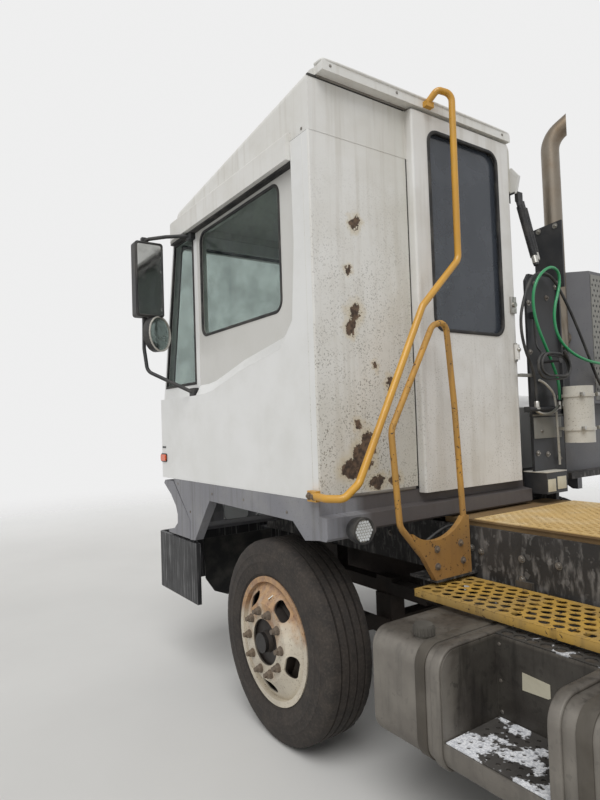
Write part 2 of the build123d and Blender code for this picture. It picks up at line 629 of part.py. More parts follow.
# Boom between the rails, lifted by two cylinders
boom_outline = [  # y, z
    (boom_pivot[0] - 55, 830), (1500, 800), (1760, 830), (1760, 1000), (1500, 1020), (560, 960),
    (boom_pivot[0] - 55, 940),
]
boom = rod_x((-424, 424), boom_pivot[0], boom_pivot[1], 30)
boom += block((-241, 241), (600, 1760), (940, 960)) + block((-241, 241), (1740, 1760), (830, 1000))
boom += rod_x((-245, 245), lift_head[0], lift_head[1], 20)
for side in (1, -1):
    boom += side_prism(boom_outline, (side * 240, side * 280))
    boom += block((side * 290, side * 330), (plate_centre_y - 45, plate_centre_y + 45), (900, plate_hinge_z))
    boom += rod_x((side * 290, side * 330), plate_centre_y, plate_hinge_z, 45)
    boom += block((side * 240, side * 330), (plate_centre_y - 60, plate_centre_y + 60), (900, 1000))
    boom -= rod_x((side * 280, side * 340), plate_centre_y, plate_hinge_z, 25 + running_gap)
parts["boom"] = boom

# Fifth wheel plate with its throat, its ramps and the lock round the kingpin
plate_r = 460
plate_low = plate_top_z - 45
fifth = rod_z(0, plate_centre_y, (plate_low, plate_top_z), plate_r)
fifth += block((-plate_r, plate_r), (plate_centre_y, plate_centre_y + 120), (plate_low, plate_top_z))
for side in (1, -1):
    ramp = [  # y, z; its tip stays above the rails when the plate rocks back
        (plate_centre_y + 100, plate_low), (plate_centre_y + 420, plate_low - 28),
        (plate_centre_y + 420, plate_low + 8), (plate_centre_y + 120, plate_top_z),
    ]
    fifth += side_prism(ramp, (side * 170, side * plate_r))
    fifth += rod_x((side * 232, side * 350), plate_centre_y, plate_hinge_z, 25)
    fifth += block((side * 232, side * 286), (plate_centre_y - 45, plate_centre_y + 45), (1065, 1135))
    fifth += block((side * 334, side * 360), (plate_centre_y - 45, plate_centre_y + 45), (1040, 1135))
throat = [(-55, plate_centre_y + 30), (55, plate_centre_y + 30), (190, 2200), (-190, 2200)]
fifth -= plan_prism(throat, (1050, 1200))
fifth += block((-90, 90), (plate_centre_y - 60, plate_centre_y + 75), (1095, 1135))
fifth -= rod_z(0, plate_centre_y, (1050, 1200), 25.7)
parts["fifth_wheel"] = fifth

lift_length = math.dist(lift_foot, lift_head)
lift_angle = math.degrees(math.atan2(lift_head[1] - lift_foot[1], lift_head[0] - lift_foot[0]))
piston_r = 27
barrels = []
rods = []
for side in (1, -1):
    along = Pos(side * 180, lift_foot[0], lift_foot[1]) * Rot(lift_angle, 0, 0)
    barrel = rod_y(0, (30, 400), 0, 48) + rod_x((-25, 25), 0, 0, 42)
    barrel = barrel - rod_y(0, (60, 410), 0, piston_r + 0.06) - rod_x((-30, 30), 0, 0, 20.06)
    barrels.append(along * barrel)
    rod = rod_y(0, (110, lift_length - 40), 0, piston_r) + rod_x((-20, 20), lift_length, 0, 52)
    rods.append(along * (rod - rod_x((-30, 30), lift_length, 0, 34)))
parts["lift_barrels"] = Compound(barrels)
parts["lift_rods"] = Compound(rods)

# Mud flaps behind the rear wheels, each on its bar from the rail, with a tail lamp above
guards = []
for side in (1, -1):
    bar = rod_x((side * rail_x, side * 1180), 2330, 880, 20)
    bar += block((side * rail_x, side * 450), (2290, 2370), (840, 920))
    flap = block((side * 590, side * 1190), (2322, 2332), (250, 885))
    lamp = block((side * 900, side * 1150), (2300, 2380), (890, 1000))
    guards.append(bar + flap + lamp + block((side * 1000, side * 1040), (2320, 2340), (870, 900)))
parts["rear_guards"] = Compound(guards)


def cord(name, points, r):
    """Tube along a route, with each arc as large as its two runs allow."""
    corners = [Vector(*point) for point in points]
    bends = []
    for before, here, after in zip(corners, corners[1:], corners[2:]):
        run_in = here - before
        run_out = after - here
        turn = math.radians(run_in.get_angle(run_out))
        bends.append(0.45 * min(run_in.length, run_out.length) / math.tan(turn / 2))
    print(name, "smallest bend", round(min(bends)), "of radius", r)
    return tube(points, bends, r)


green_route = [
    (-400, -640, 1590), (-401, -640, 1645), (-384, -638, 1712), (-345, -635, 1776), (-306, -633, 1838),
    (-264, -632, 1902), (-222, -632, 1968), (-192, -632, 2037), (-176, -630, 2105), (-178, -626, 2175),
    (-205, -619, 2240), (-262, -612, 2296), (-335, -608, 2326), (-397, -608, 2305), (-414, -614, 2245),
    (-388, -614, 2180), (-353, -614, 2108), (-340, -614, 2029), (-358, -612, 1952), (-407, -604, 1888),
    (-480, -586, 1838), (-570, -566, 1806), (-680, -558, 1792), (-790, -556, 1794), (-880, -556, 1800),
]
air_route = [
    (-205, -655, 1575), (-204, -655, 1640), (-196, -653, 1705), (-168, -650, 1775), (-124, -647, 1836),
    (-94, -645, 1903), (-80, -644, 1971), (-84, -644, 2046), (-115, -644, 2124), (-156, -648, 2198),
    (-212, -652, 2262), (-280, -652, 2296), (-350, -650, 2296), (-408, -645, 2268), (-448, -636, 2210),
    (-486, -624, 2140), (-524, -612, 2062), (-570, -602, 1966), (-624, -592, 1853), (-684, -590, 1745),
    (-755, -590, 1655), (-840, -588, 1603), (-920, -588, 1590),
]
parts["green_cable"] = cord("green_cable", green_route, 8)
parts["air_hose"] = cord("air_hose", air_route, 8)
plugs = [("cable_plug", -880, -556, 1800), ("hose_coupling", -920, -588, 1590)]  # node, x, y, z
for name, x, y, z in plugs:
    parts[name] = rod_x((x - 60, x), y, z, 20)

# The spare lead: a run down from its gland and the outer shape of the coil on the peg
lead_route = [(-240, -668, 2040), (-240, -668, 1920), (-232, -655, 1868), (-222, -600, 1834)]
coil_path = Pos(-290, -592, 1770) * Rot(90, 0, 0) * SlotOverall(290, 126)
coil_wire = coil_path.face().outer_wire()
coil = sweep(Plane(origin=coil_wire @ 0, z_dir=coil_wire % 0) * Circle(18), path=coil_wire)
parts["cable_coil"] = coil + tube(lead_route, [60, 40], 6)

os.makedirs("parts", exist_ok=True)
for name, shape in parts.items():
    export_step(shape, "parts/" + name + ".step")
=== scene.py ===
import math

import bmesh
import bpy
from mathutils import Matrix, Vector


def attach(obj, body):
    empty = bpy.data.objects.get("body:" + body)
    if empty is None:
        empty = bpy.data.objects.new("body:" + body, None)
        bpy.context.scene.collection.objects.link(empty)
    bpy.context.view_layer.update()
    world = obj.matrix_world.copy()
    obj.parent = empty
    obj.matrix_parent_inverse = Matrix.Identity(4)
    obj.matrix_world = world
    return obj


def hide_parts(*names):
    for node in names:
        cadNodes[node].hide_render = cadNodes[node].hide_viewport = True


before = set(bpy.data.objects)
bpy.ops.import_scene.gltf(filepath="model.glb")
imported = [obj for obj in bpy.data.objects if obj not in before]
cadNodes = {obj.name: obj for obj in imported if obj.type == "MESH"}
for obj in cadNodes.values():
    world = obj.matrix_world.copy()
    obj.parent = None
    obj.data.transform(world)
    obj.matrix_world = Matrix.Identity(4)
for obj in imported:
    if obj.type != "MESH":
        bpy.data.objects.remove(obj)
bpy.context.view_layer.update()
scene = bpy.context.scene
print("frame loaded,", len(cadNodes), "nodes")
# Front of the tractor is -Y, its left side +X.
sideNames = {1: "Left", -1: "Right"}


# Small tools
def linear(code):
    parts = [int(code[i:i + 2], 16) / 255 for i in (1, 3, 5)]
    return tuple(c / 12.92 if c <= 0.04045 else ((c + 0.055) / 1.055) ** 2.4 for c in parts) + (1.0,)


def feed(tree, node, inputs):
    # each input takes a value, the socket that feeds it, or a list of sockets
    for name, value in inputs.items():
        if isinstance(value, (bpy.types.NodeSocket, list)):
            for source in value if isinstance(value, list) else [value]:
                tree.links.new(source, node.inputs[name])
        else:
            node.inputs[name].default_value = value


def addNode(tree, kind, inputs=None, output=0, **settings):
    # the new node's output comes back, to feed others
    node = tree.nodes.new(kind)
    for name, value in settings.items():
        setattr(node, name, value)
    feed(tree, node, inputs or {})
    return node.outputs[output]


def addObject(name, data):
    piece = bpy.data.objects.new(name, data)
    scene.collection.objects.link(piece)
    return piece


def finishPiece(piece, body, finish=None, stands=()):
    # finish names a material, stands lists the CAD nodes that the piece replaces
    if finish:
        piece.data.materials.clear()
        piece.data.materials.append(materials[finish])
    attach(piece, body)
    if stands:
        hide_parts(*stands)
    return piece


def smoothMesh(mesh, sharpAngle):
    mesh.shade_smooth()
    mesh.set_sharp_from_angle(angle=math.radians(sharpAngle))


def toMesh(name, shape, sharpAngle=35):
    # a bmesh becomes a mesh object, smooth except at sharp edges
    bmesh.ops.remove_doubles(shape, verts=shape.verts, dist=0.00001)
    bmesh.ops.recalc_face_normals(shape, faces=shape.faces)
    mesh = bpy.data.meshes.new(name)
    shape.to_mesh(mesh)
    shape.free()
    smoothMesh(mesh, sharpAngle)
    return addObject(name, mesh)


def makePiece(name, body, finish, forms, sharpAngle=35, stands=()):
    # forms are tuples: a function that adds to a shape, and the values that it takes
    shape = bmesh.new()
    for addForm, *values in forms:
        addForm(shape, *values)
    return finishPiece(toMesh(name, shape, sharpAngle), body, finish, stands)


# Materials
def newMaterial(name):
    material = bpy.data.materials.new(name)
    material.use_nodes = True
    tree = material.node_tree
    shader = tree.nodes["Principled BSDF"]
    coords = addNode(tree, "ShaderNodeTexCoord", output="Object")
    return material, tree, shader, coords


def noiseMask(tree, coords, scale, low, high, detail=4.0, stretch=(1, 1, 1), seedShift=0.0):
    # 0 below low and 1 above high; scale is cells per metre
    spread = addNode(tree, "ShaderNodeMapping", {
        "Vector": coords, "Scale": tuple(scale * s for s in stretch), "Location": (seedShift, seedShift * 0.7, 0),
    })
    noise = addNode(tree, "ShaderNodeTexNoise", {"Vector": spread, "Scale": 1.0, "Detail": detail, "Roughness": 0.6})
    limits = addNode(tree, "ShaderNodeMapRange", {
        "Value": noise, "From Min": low, "From Max": high,
    }, clamp=True, interpolation_type="SMOOTHSTEP")
    return limits


def layColours(tree, colour, layers):
    # lays colours over the first one: each layer is (mask, share, colour), and colours are hex codes or sockets
    for mask, share, cover in layers:
        if share != 1:
            mask = addNode(tree, "ShaderNodeMath", {0: mask, 1: share}, operation="MULTIPLY")
        pair = [linear(item) if isinstance(item, str) else item for item in (colour, cover)]
        colour = addNode(tree, "ShaderNodeMix", {"Factor": mask, 6: pair[0], 7: pair[1]}, 2, data_type="RGBA")
    return colour


def nearestDistance(tree, coords, places):
    # distance to the nearest centre; places are (centre, stretch), and a stretch of 0 leaves an axis out
    nearest = None
    for centre, stretch in places:
        offset = addNode(tree, "ShaderNodeVectorMath", {0: coords, 1: centre}, operation="SUBTRACT")
        offset = addNode(tree, "ShaderNodeVectorMath", {0: offset, 1: stretch}, operation="MULTIPLY")
        length = addNode(tree, "ShaderNodeVectorMath", {0: offset}, output="Value", operation="LENGTH")
        if nearest is not None:
            length = addNode(tree, "ShaderNodeMath", {0: nearest, 1: length}, operation="MINIMUM")
        nearest = length
    return nearest


def patchDistance(tree, coords, patches):
    # 1 at the edge of ragged blots: each is (x, z, half width, half height) in metres
    ragged = addNode(tree, "ShaderNodeTexNoise", {
        "Vector": coords, "Scale": 15.0, "Detail": 8.0, "Roughness": 0.72,
    }, "Color")
    shift = addNode(tree, "ShaderNodeVectorMath", {0: ragged, 1: (0.5, 0.5, 0.5)}, operation="SUBTRACT")
    shift = addNode(tree, "ShaderNodeVectorMath", {0: shift, 1: (0.12, 0.12, 0.12)}, operation="MULTIPLY")
    warped = addNode(tree, "ShaderNodeVectorMath", {0: coords, 1: shift}, operation="ADD")
    return nearestDistance(tree, warped, [
        ((x, 0.0, z), (1 / halfWidth, 0.0, 1 / halfHeight)) for x, z, halfWidth, halfHeight in patches
    ])


def rampAlong(tree, coords, axis, start, end):
    # 0 at start and 1 at end along one axis, in metres
    place = addNode(tree, "ShaderNodeSeparateXYZ", {"Vector": coords}, axis)
    return addNode(tree, "ShaderNodeMapRange", {"Value": place, "From Min": start, "From Max": end}, clamp=True)


def coverShader(tree, shader, look, colour, roughness, bump):
    feed(tree, shader, {
        "Base Color": colour, "Roughness": roughness, "Normal": bump,
        "Metallic": look.get("metallic", 0.0), "IOR": look.get("ior", 1.5), "Coat Weight": look.get("coat", 0.0),
    })


# bare steel where the paint has peeled, and the run-off round it
rustLook = {"dark": "#3B3029", "light": "#6B5746", "stain": "#C9B78F"}


def weatheredPaint(name, look):
    # sprayed enamel on steel: soft gloss, road film that dulls it, dust that gathers in streaks, and chips to the steel
    material, tree, shader, coords = newMaterial(name)
    mottle = noiseMask(tree, coords, look.get("mottleScale", 2.2), 0.35, 0.65)
    colour = layColours(tree, look["base"], [(mottle, 1, look["mottle"])])
    if "streak" in look:
        streakLow = look.get("streakLow", 0.48)
        streaks = noiseMask(tree, coords, look.get("streakScale", 26), streakLow, streakLow + 0.24, 3.0,
                            look.get("streakStretch", (1, 1, 0.045)))
        colour = layColours(tree, colour, [(streaks, look["streakShare"], look["streak"])])
    film = noiseMask(tree, coords, 5.5, 0.42, 0.75, 6.0, seedShift=3.1)
    colour = layColours(tree, colour, [(film, look.get("filmShare", 0.3), look["film"])])
    if "speckle" in look:
        # splashes of a few millimetres, in clusters
        speckleLow = look["speckleLow"]
        grains = noiseMask(tree, coords, look.get("speckleScale", 95), speckleLow, speckleLow + 0.05, 2.0)
        clusters = noiseMask(tree, coords, 7.0, 0.3, 0.6, 3.0, seedShift=5.0)
        dots = addNode(tree, "ShaderNodeMath", {0: grains, 1: clusters}, operation="MULTIPLY")
        if "speckleFrom" in look:
            # thicker towards the floor
            lower = rampAlong(tree, coords, "Z", *look["speckleFrom"])
            dots = addNode(tree, "ShaderNodeMath", {0: dots, 1: lower}, operation="MULTIPLY")
        colour = layColours(tree, colour, [(dots, look.get("speckleShare", 0.8), look["speckle"])])
    # tones by place: some are stains, rust and two-tone paint, others painted shade and painted highlight
    for ramps, share, toneColour in look.get("tones", ()):
        reach = share
        for axis, start, end in ramps:
            # the ramp's edge wanders by up to half its length
            stir = addNode(tree, "ShaderNodeTexNoise", {"Vector": coords, "Scale": 6.0, "Detail": 4.0}, "Color")
            wander = (abs(end - start) * 0.5,) * 3
            stir = addNode(tree, "ShaderNodeVectorMath", {0: stir, 1: wander}, operation="MULTIPLY")
            ragged = addNode(tree, "ShaderNodeVectorMath", {0: coords, 1: stir}, operation="ADD")
            ramp = rampAlong(tree, ragged, axis, start, end)
            reach = addNode(tree, "ShaderNodeMath", {0: ramp, 1: reach}, operation="MULTIPLY")
        colour = layColours(tree, colour, [(reach, 1, toneColour)])
    roughness = addNode(tree, "ShaderNodeMapRange", {
        "Value": film, "To Min": look["roughness"], "To Max": min(1.0, look["roughness"] + 0.25),
    })
    grain = noiseMask(tree, coords, 60, 0.3, 0.7, 4.0)
    height = addNode(tree, "ShaderNodeMath", {0: grain, 1: look.get("grain", 0.15)}, operation="MULTIPLY")
    if "patches" in look:
        nearest = patchDistance(tree, coords, look["patches"])
        peeled = addNode(tree, "ShaderNodeMapRange", {
            "Value": nearest, "From Min": 1.0, "From Max": 0.93,
        }, clamp=True)
        stained = addNode(tree, "ShaderNodeMapRange", {
            "Value": nearest, "From Min": 1.9, "From Max": 0.9, "To Max": 0.55,
        }, clamp=True)
        rust = layColours(tree, rustLook["dark"], [(noiseMask(tree, coords, 40, 0.35, 0.65), 1, rustLook["light"])])
        colour = layColours(tree, colour, [(stained, 1, rustLook["stain"]), (peeled, 1, rust)])
        roughness = addNode(tree, "ShaderNodeMath", {0: peeled, 1: 0.35, 2: roughness}, operation="MULTIPLY_ADD")
        height = addNode(tree, "ShaderNodeMath", {0: peeled, 1: -2.0, 2: height}, operation="MULTIPLY_ADD")
    if "chip" in look:
        chipLow = look["chipLow"]
        chips = noiseMask(tree, coords, look.get("chipScale", 34), chipLow, chipLow + 0.035, 5.0, seedShift=9.0)
        fine = noiseMask(tree, coords, 120, 0.4, 0.6)
        chipColour = layColours(tree, look["chip"], [(fine, 1, look.get("chipDark", "#3A2A1E"))])
        colour = layColours(tree, colour, [(chips, 1, chipColour)])
        height = addNode(tree, "ShaderNodeMath", {0: height, 1: chips}, operation="SUBTRACT")
    bump = addNode(tree, "ShaderNodeBump", {"Height": height, "Strength": 0.5, "Distance": 0.0012})
    coverShader(tree, shader, look, colour, roughness, bump)
    return material


# Peeled places on the rear panel, as (x, z, half width, half height) in metres
rearPatches = [
    (0.955, 2.392, 0.030, 0.034), (1.000, 2.179, 0.020, 0.020), (0.980, 1.992, 0.036, 0.045),
    (0.997, 1.925, 0.028, 0.036), (0.863, 1.758, 0.018, 0.022), (0.787, 1.673, 0.020, 0.040),
    (0.981, 1.491, 0.022, 0.026), (0.925, 1.405, 0.040, 0.055), (0.965, 1.345, 0.060, 0.060),
    (1.010, 1.300, 0.065, 0.045), (0.885, 1.235, 0.045, 0.030), (0.775, 1.240, 0.035, 0.025),
]
paintLooks = {
    # white two-pack enamel over steel, washed often on the side
    "cabEnamelSide": {
        "base": "#E8E8E6", "mottle": "#E2E2DF", "film": "#D4D3CD", "filmShare": 0.25, "roughness": 0.3, "coat": 0.2,
    },
    # the same enamel behind the cab, where road salt and soot settle
    "cabEnamelRear": {
        "base": "#E6E5E1", "mottle": "#DFDDD7", "film": "#CCC8BE", "filmShare": 0.3, "streak": "#ADA595",
        "streakShare": 0.25, "speckle": "#574E42", "speckleLow": 0.57, "speckleScale": 125, "speckleShare": 0.85,
        "speckleFrom": (2.7, 1.4),
        # tones: painted shade, darker towards the door; then darker towards the bottom
        "tones": [([("X", 1.02, 0.62)], 0.32, "#A9A48F"), ([("Z", 2.5, 1.3)], 0.42, "#AAA391")], "roughness": 0.4,
        "patches": rearPatches,
    },
    "doorEnamel": {
        "base": "#E5E4E1", "mottle": "#DDDBD6", "film": "#CBC7BE", "filmShare": 0.35, "streak": "#ADA698",
        "streakShare": 0.35, "streakScale": 14, "streakStretch": (1, 1, 0.08), "speckle": "#6E6558",
        "speckleLow": 0.6, "speckleScale": 130, "speckleShare": 0.6, "speckleFrom": (2.4, 1.3),
        "tones": [([("Z", 2.0, 1.15)], 0.3, "#B9B3A6")], "roughness": 0.38,
    },
    "roofEnamel": {
        "base": "#E6E5E1", "mottle": "#DFDDD7", "film": "#CCC8BE", "filmShare": 0.3, "streak": "#ADA595",
        # painted shade on the lower part of the roof's rear face, darker towards the door, as on the rear panel
        "streakShare": 0.25, "tones": [([("X", 1.02, 0.62), ("Y", -0.8, -0.76), ("Z", 3.012, 3.0)], 0.32, "#A9A48F")],
        "roughness": 0.4,
    },
    # grained, through-coloured trim, bleached and dusty
    "greyTrimPlastic": {
        "base": "#87878B", "mottle": "#7D7D82", "film": "#9E9D9B", "filmShare": 0.45, "streak": "#5C5958",
        "streakShare": 0.45, "speckle": "#5A5650", "speckleLow": 0.63, "speckleScale": 160, "speckleShare": 0.5,
        # painted shade on the trim's rear return, inboard behind the cab
        "roughness": 0.55, "grain": 0.4, "tones": [([("Y", -0.790, -0.765), ("X", 1.03, 0.97)], 0.85, "#4A4340")],
    },
    # gloss safety yellow, rubbed where hands hold it
    "railYellow": {
        "base": "#D39E35", "mottle": "#C99433", "film": "#A98443", "filmShare": 0.45, "chip": "#7D6138",
        "chipLow": 0.7, "chipScale": 60, "roughness": 0.35, "coat": 0.2,
    },
    # the same yellow low down, ochre with rust
    "railOchre": {
        "base": "#C8953E", "mottle": "#B58942", "film": "#96784A", "filmShare": 0.5, "streak": "#7A5C38",
        "streakShare": 0.5, "chip": "#5E432B", "chipLow": 0.61, "chipScale": 70, "roughness": 0.5,
        "tones": [([("Z", 1.35, 1.0)], 0.75, "#8A6843")],
    },
    "plankYellow": {
        "base": "#BE9744", "mottle": "#A98B50", "film": "#8A7550", "filmShare": 0.6, "streak": "#65502F",
        "streakShare": 0.5, "chip": "#56432C", "chipLow": 0.61, "chipScale": 60, "roughness": 0.55,
    },
    # soot and grit under the lattice
    "deckGrime": {"base": "#7E6440", "mottle": "#6E583B", "film": "#9A825C", "filmShare": 0.5, "roughness": 0.8},
    "deckStraw": {
        "base": "#D8B87C", "mottle": "#C9A96E", "film": "#DCCBA8", "filmShare": 0.6, "speckle": "#7D6240",
        "speckleLow": 0.6, "speckleScale": 60, "speckleShare": 0.6, "roughness": 0.65,
    },
    # black chassis paint under dried salt splashes
    "chassisBlack": {
        "base": "#232221", "mottle": "#302E2D", "film": "#4C4946", "filmShare": 0.5, "streak": "#9A9794",
        "streakShare": 0.55, "streakScale": 34, "streakStretch": (1, 1, 0.3), "speckle": "#B4B2AF", "speckleLow": 0.6,
        "speckleScale": 26, "speckleShare": 0.18, "roughness": 0.62, "grain": 0.6,
    },
    "bumperBlack": {
        "base": "#1E1E20", "mottle": "#262628", "film": "#3C3B3B", "filmShare": 0.4, "streak": "#B9B9BA",
        "streakShare": 0.75, "streakScale": 48, "streakLow": 0.53, "streakStretch": (1.6, 1.6, 0.05),
        "roughness": 0.5,
    },
    "tankSheet": {
        "base": "#6E6961", "mottle": "#56504A", "mottleScale": 7, "film": "#8C877E", "filmShare": 0.5,
        "streak": "#2E2A26", "streakShare": 0.7, "streakStretch": (1, 1, 0.14), "speckle": "#2E2B28",
        "speckleLow": 0.6, "speckleScale": 34, "speckleShare": 0.45, "roughness": 0.55, "metallic": 0.3, "grain": 0.4,
        # tones: a painted highlight on the outer end, painted shade over the inboard part, then darker towards the
        # bottom and along the top edge
        "tones": [([("X", 1.1, 1.149)], 0.4, "#97928A"), ([("X", 1.14, 1.02), ("Z", 0.718, 0.71)], 0.6, "#24221F"),
                  ([("Z", 0.62, 0.30)], 0.4, "#3A342E"), ([("Z", 0.7, 0.719)], 0.35, "#38322C")],
    },
    "boxGrey": {
        "base": "#67676A", "mottle": "#5C5C5F", "film": "#7E7C79", "filmShare": 0.4, "speckle": "#2C2A28",
        "speckleLow": 0.66, "speckleScale": 120, "roughness": 0.5, "grain": 0.3,
    },
    "boxPale": {
        "base": "#86857F", "mottle": "#7B7A76", "film": "#99978F", "filmShare": 0.4, "roughness": 0.5, "grain": 0.3,
    },
    "panelBlack": {
        "base": "#2B2C2F", "mottle": "#232427", "film": "#4A4846", "filmShare": 0.45, "roughness": 0.45,
    },
    "canisterWhite": {
        "base": "#CBC8BF", "mottle": "#BFBBB0", "film": "#A49C8B", "filmShare": 0.4, "speckle": "#6F6452",
        "speckleLow": 0.63, "speckleScale": 150, "roughness": 0.4,
    },
    # plate worn bright in rings under black grease
    "greasyPlate": {
        "base": "#26221F", "mottle": "#34302C", "film": "#4A443D", "filmShare": 0.5, "chip": "#6B645B",
        "chipDark": "#4B453F", "chipLow": 0.66, "chipScale": 16, "roughness": 0.4, "metallic": 0.3, "grain": 0.5,
    },
    # black rubber sleeves that hang from a white bracket
    "tenderPaint": {
        "base": "#1D1D1F", "mottle": "#232325", "film": "#3C3B3A", "filmShare": 0.4, "roughness": 0.45,
        "tones": [([("Z", 2.752, 2.757)], 1.0, "#DAD9D5")],
    },
    "castIron": {
        "base": "#2C2724", "mottle": "#3A312B", "film": "#5A5049", "filmShare": 0.5, "roughness": 0.8, "grain": 1.2,
    },
    # zinc-plated nut, rusted and caked with road dirt
    "rustyNut": {
        "base": "#6A6159", "mottle": "#776856", "film": "#877765", "filmShare": 0.6, "chip": "#543A26",
        "chipLow": 0.64, "chipScale": 60, "roughness": 0.75, "metallic": 0.2,
    },
    # black-painted hub casting with dirt in its ribs
    "hubCasting": {
        "base": "#1F1C1A", "mottle": "#2B2724", "film": "#5A4D40", "filmShare": 0.5, "roughness": 0.75, "grain": 0.8,
    },
    # aluminium tread under dried salt
    "saltyTread": {
        "base": "#4A4743", "mottle": "#33302E", "film": "#5A5651", "filmShare": 0.4, "chip": "#F0F1F3",
        "chipDark": "#C9CBD0", "chipLow": 0.47, "chipScale": 7, "roughness": 0.8, "metallic": 0.1, "grain": 1.0,
    },
    # the same tread on the tank's ledge, with less salt
    "saltyLedge": {
        "base": "#3A3733", "mottle": "#2C2A27", "film": "#5A5651", "filmShare": 0.4, "chip": "#D9DADC",
        "chipDark": "#9EA0A4", "chipLow": 0.56, "chipScale": 14, "roughness": 0.8, "grain": 1.0,
    },
    # hoop steel with dirt packed along its edges
    "strapSteel": {
        "base": "#4B463F", "mottle": "#5C564D", "film": "#77726A", "filmShare": 0.5, "streak": "#2A2622",
        "streakShare": 0.6, "roughness": 0.6, "metallic": 0.4,
    },
    # moulded filler cap, grey with dust
    "dustyCap": {
        "base": "#45413C", "mottle": "#383530", "film": "#6A665E", "filmShare": 0.5, "roughness": 0.75, "grain": 0.5,
    },
}
# the recessed panel round each side window is darkened with painted shade
for name, start, end in (("cabEnamelLeftRecessShade", 1.19, 1.172), ("cabEnamelRightRecessShade", -0.183, -0.165)):
    paintLooks[name] = dict(paintLooks["cabEnamelSide"], tones=[([("X", start, end)], 0.45, "#B3AFA5")])
materials = {name: weatheredPaint(name, look) for name, look in paintLooks.items()}
print("paints made")


def plainStuff(name, look):
    # moulded, drawn or cast stuff with one colour, a little dust and its own roughness
    material, tree, shader, coords = newMaterial(name)
    dust = noiseMask(tree, coords, look.get("dustScale", 9), 0.4, 0.75, 5.0)
    colour = layColours(tree, look["base"], [(dust, look.get("dustShare", 0.3), look.get("dust", "#8A857D"))])
    grain = noiseMask(tree, coords, look.get("grainScale", 250), 0.35, 0.65, 3.0, look.get("grainStretch", (1, 1, 1)))
    bump = addNode(tree, "ShaderNodeBump", {"Height": grain, "Strength": look.get("grain", 0.1), "Distance": 0.001})
    roughness = addNode(tree, "ShaderNodeMapRange", {
        "Value": dust, "To Min": look["roughness"], "To Max": min(1.0, look["roughness"] + 0.2),
    })
    coverShader(tree, shader, look, colour, roughness, bump)
    return material


stuffLooks = {
    # extruded EPDM: matt black with grey bloom
    "sealRubber": {"base": "#1B1B1C", "dustShare": 0.3, "roughness": 0.7, "ior": 1.52},
    "hoseRubber": {"base": "#1E1F20", "dustShare": 0.25, "roughness": 0.5, "ior": 1.52},
    # PVC sheath, gloss green
    "greenSheath": {
        "base": "#1F8F55", "dust": "#5C9C7A", "dustShare": 0.25, "roughness": 0.35, "ior": 1.53, "coat": 0.2,
    },
    # moulded ABS, fine grain
    "mouldedBlack": {"base": "#1C1D1F", "dustShare": 0.25, "roughness": 0.5, "grain": 0.3, "ior": 1.53},
    "mouldedDash": {"base": "#2B2C2F", "dustShare": 0.2, "roughness": 0.7, "grain": 0.4},
    # heat-tinted stainless tube, drawn along its length
    "tintedStainless": {
        "base": "#857D72", "dust": "#6A563E", "dustShare": 0.7, "dustScale": 4, "roughness": 0.35, "metallic": 1.0,
        "grainStretch": (1, 1, 0.1),
    },
    "brightSteel": {"base": "#B8B6B0", "dust": "#7A746A", "dustShare": 0.4, "roughness": 0.3, "metallic": 1.0},
    "zincPlate": {"base": "#8E8A84", "dust": "#5E5246", "dustShare": 0.6, "roughness": 0.5, "metallic": 0.8},
    "hardChrome": {"base": "#D9D9D8", "dustShare": 0.05, "roughness": 0.12, "metallic": 1.0},
    "lensClear": {"base": "#D9DCDD", "dustShare": 0.3, "roughness": 0.2, "ior": 1.49, "coat": 0.5},
    "lampBowl": {"base": "#A5A39B", "dust": "#7F7B72", "dustShare": 0.6, "roughness": 0.35, "metallic": 0.3},
    "lensAmber": {"base": "#E0602A", "dust": "#A2573A", "dustShare": 0.4, "roughness": 0.25, "ior": 1.49, "coat": 0.4},
    "lensRed": {"base": "#A81E1C", "dust": "#6E3A33", "dustShare": 0.3, "roughness": 0.25, "ior": 1.49, "coat": 0.4},
    "paleSticker": {"base": "#C9C3AE", "dust": "#9C937C", "dustShare": 0.5, "roughness": 0.5},
}
materials.update({name: plainStuff(name, look) for name, look in stuffLooks.items()})


rubberLook = {"base": "#2C2825", "dust": "#3A342F", "grit": "#6A6057", "gritShare": 0.18, "roughness": 0.85}


def tyreRubber():
    # carbon-black tread rubber with dry, brown-grey road dust
    material, tree, shader, coords = newMaterial("tyreRubber")
    dust = noiseMask(tree, coords, 14, 0.35, 0.7, 6.0)
    fine = noiseMask(tree, coords, 90, 0.45, 0.7, 3.0, seedShift=2.0)
    colour = layColours(tree, rubberLook["base"], [
        (dust, 1, rubberLook["dust"]), (fine, rubberLook["gritShare"], rubberLook["grit"]),
    ])
    bump = addNode(tree, "ShaderNodeBump", {"Height": fine, "Strength": 0.25, "Distance": 0.001})
    feed(tree, shader, {"Base Color": colour, "Normal": bump, "Roughness": rubberLook["roughness"]})
    return material


def tintedGlass(name, tint, through, share, roughness):
    # toughened glass: light is let through by mixing with a clear shader, dust lies on it as a thin film
    material, tree, shader, coords = newMaterial(name)
    dust = noiseMask(tree, coords, 6, 0.35, 0.75, 6.0)
    feed(tree, shader, {"Base Color": linear(tint), "Roughness": roughness, "IOR": 1.52})
    clear = addNode(tree, "ShaderNodeBsdfTransparent", {"Color": linear(through)})
    cover = addNode(tree, "ShaderNodeMapRange", {"Value": dust, "To Min": share, "To Max": min(1.0, share + 0.15)})
    mixed = addNode(tree, "ShaderNodeMixShader", {0: cover, 1: clear, 2: shader.outputs[0]})
    feed(tree, tree.nodes["Material Output"], {"Surface": mixed})
    return material


clothLook = {"dark": "#2A2B30", "light": "#4A4B52", "threads": 78.0, "roughness": 0.9, "sheen": 0.3}


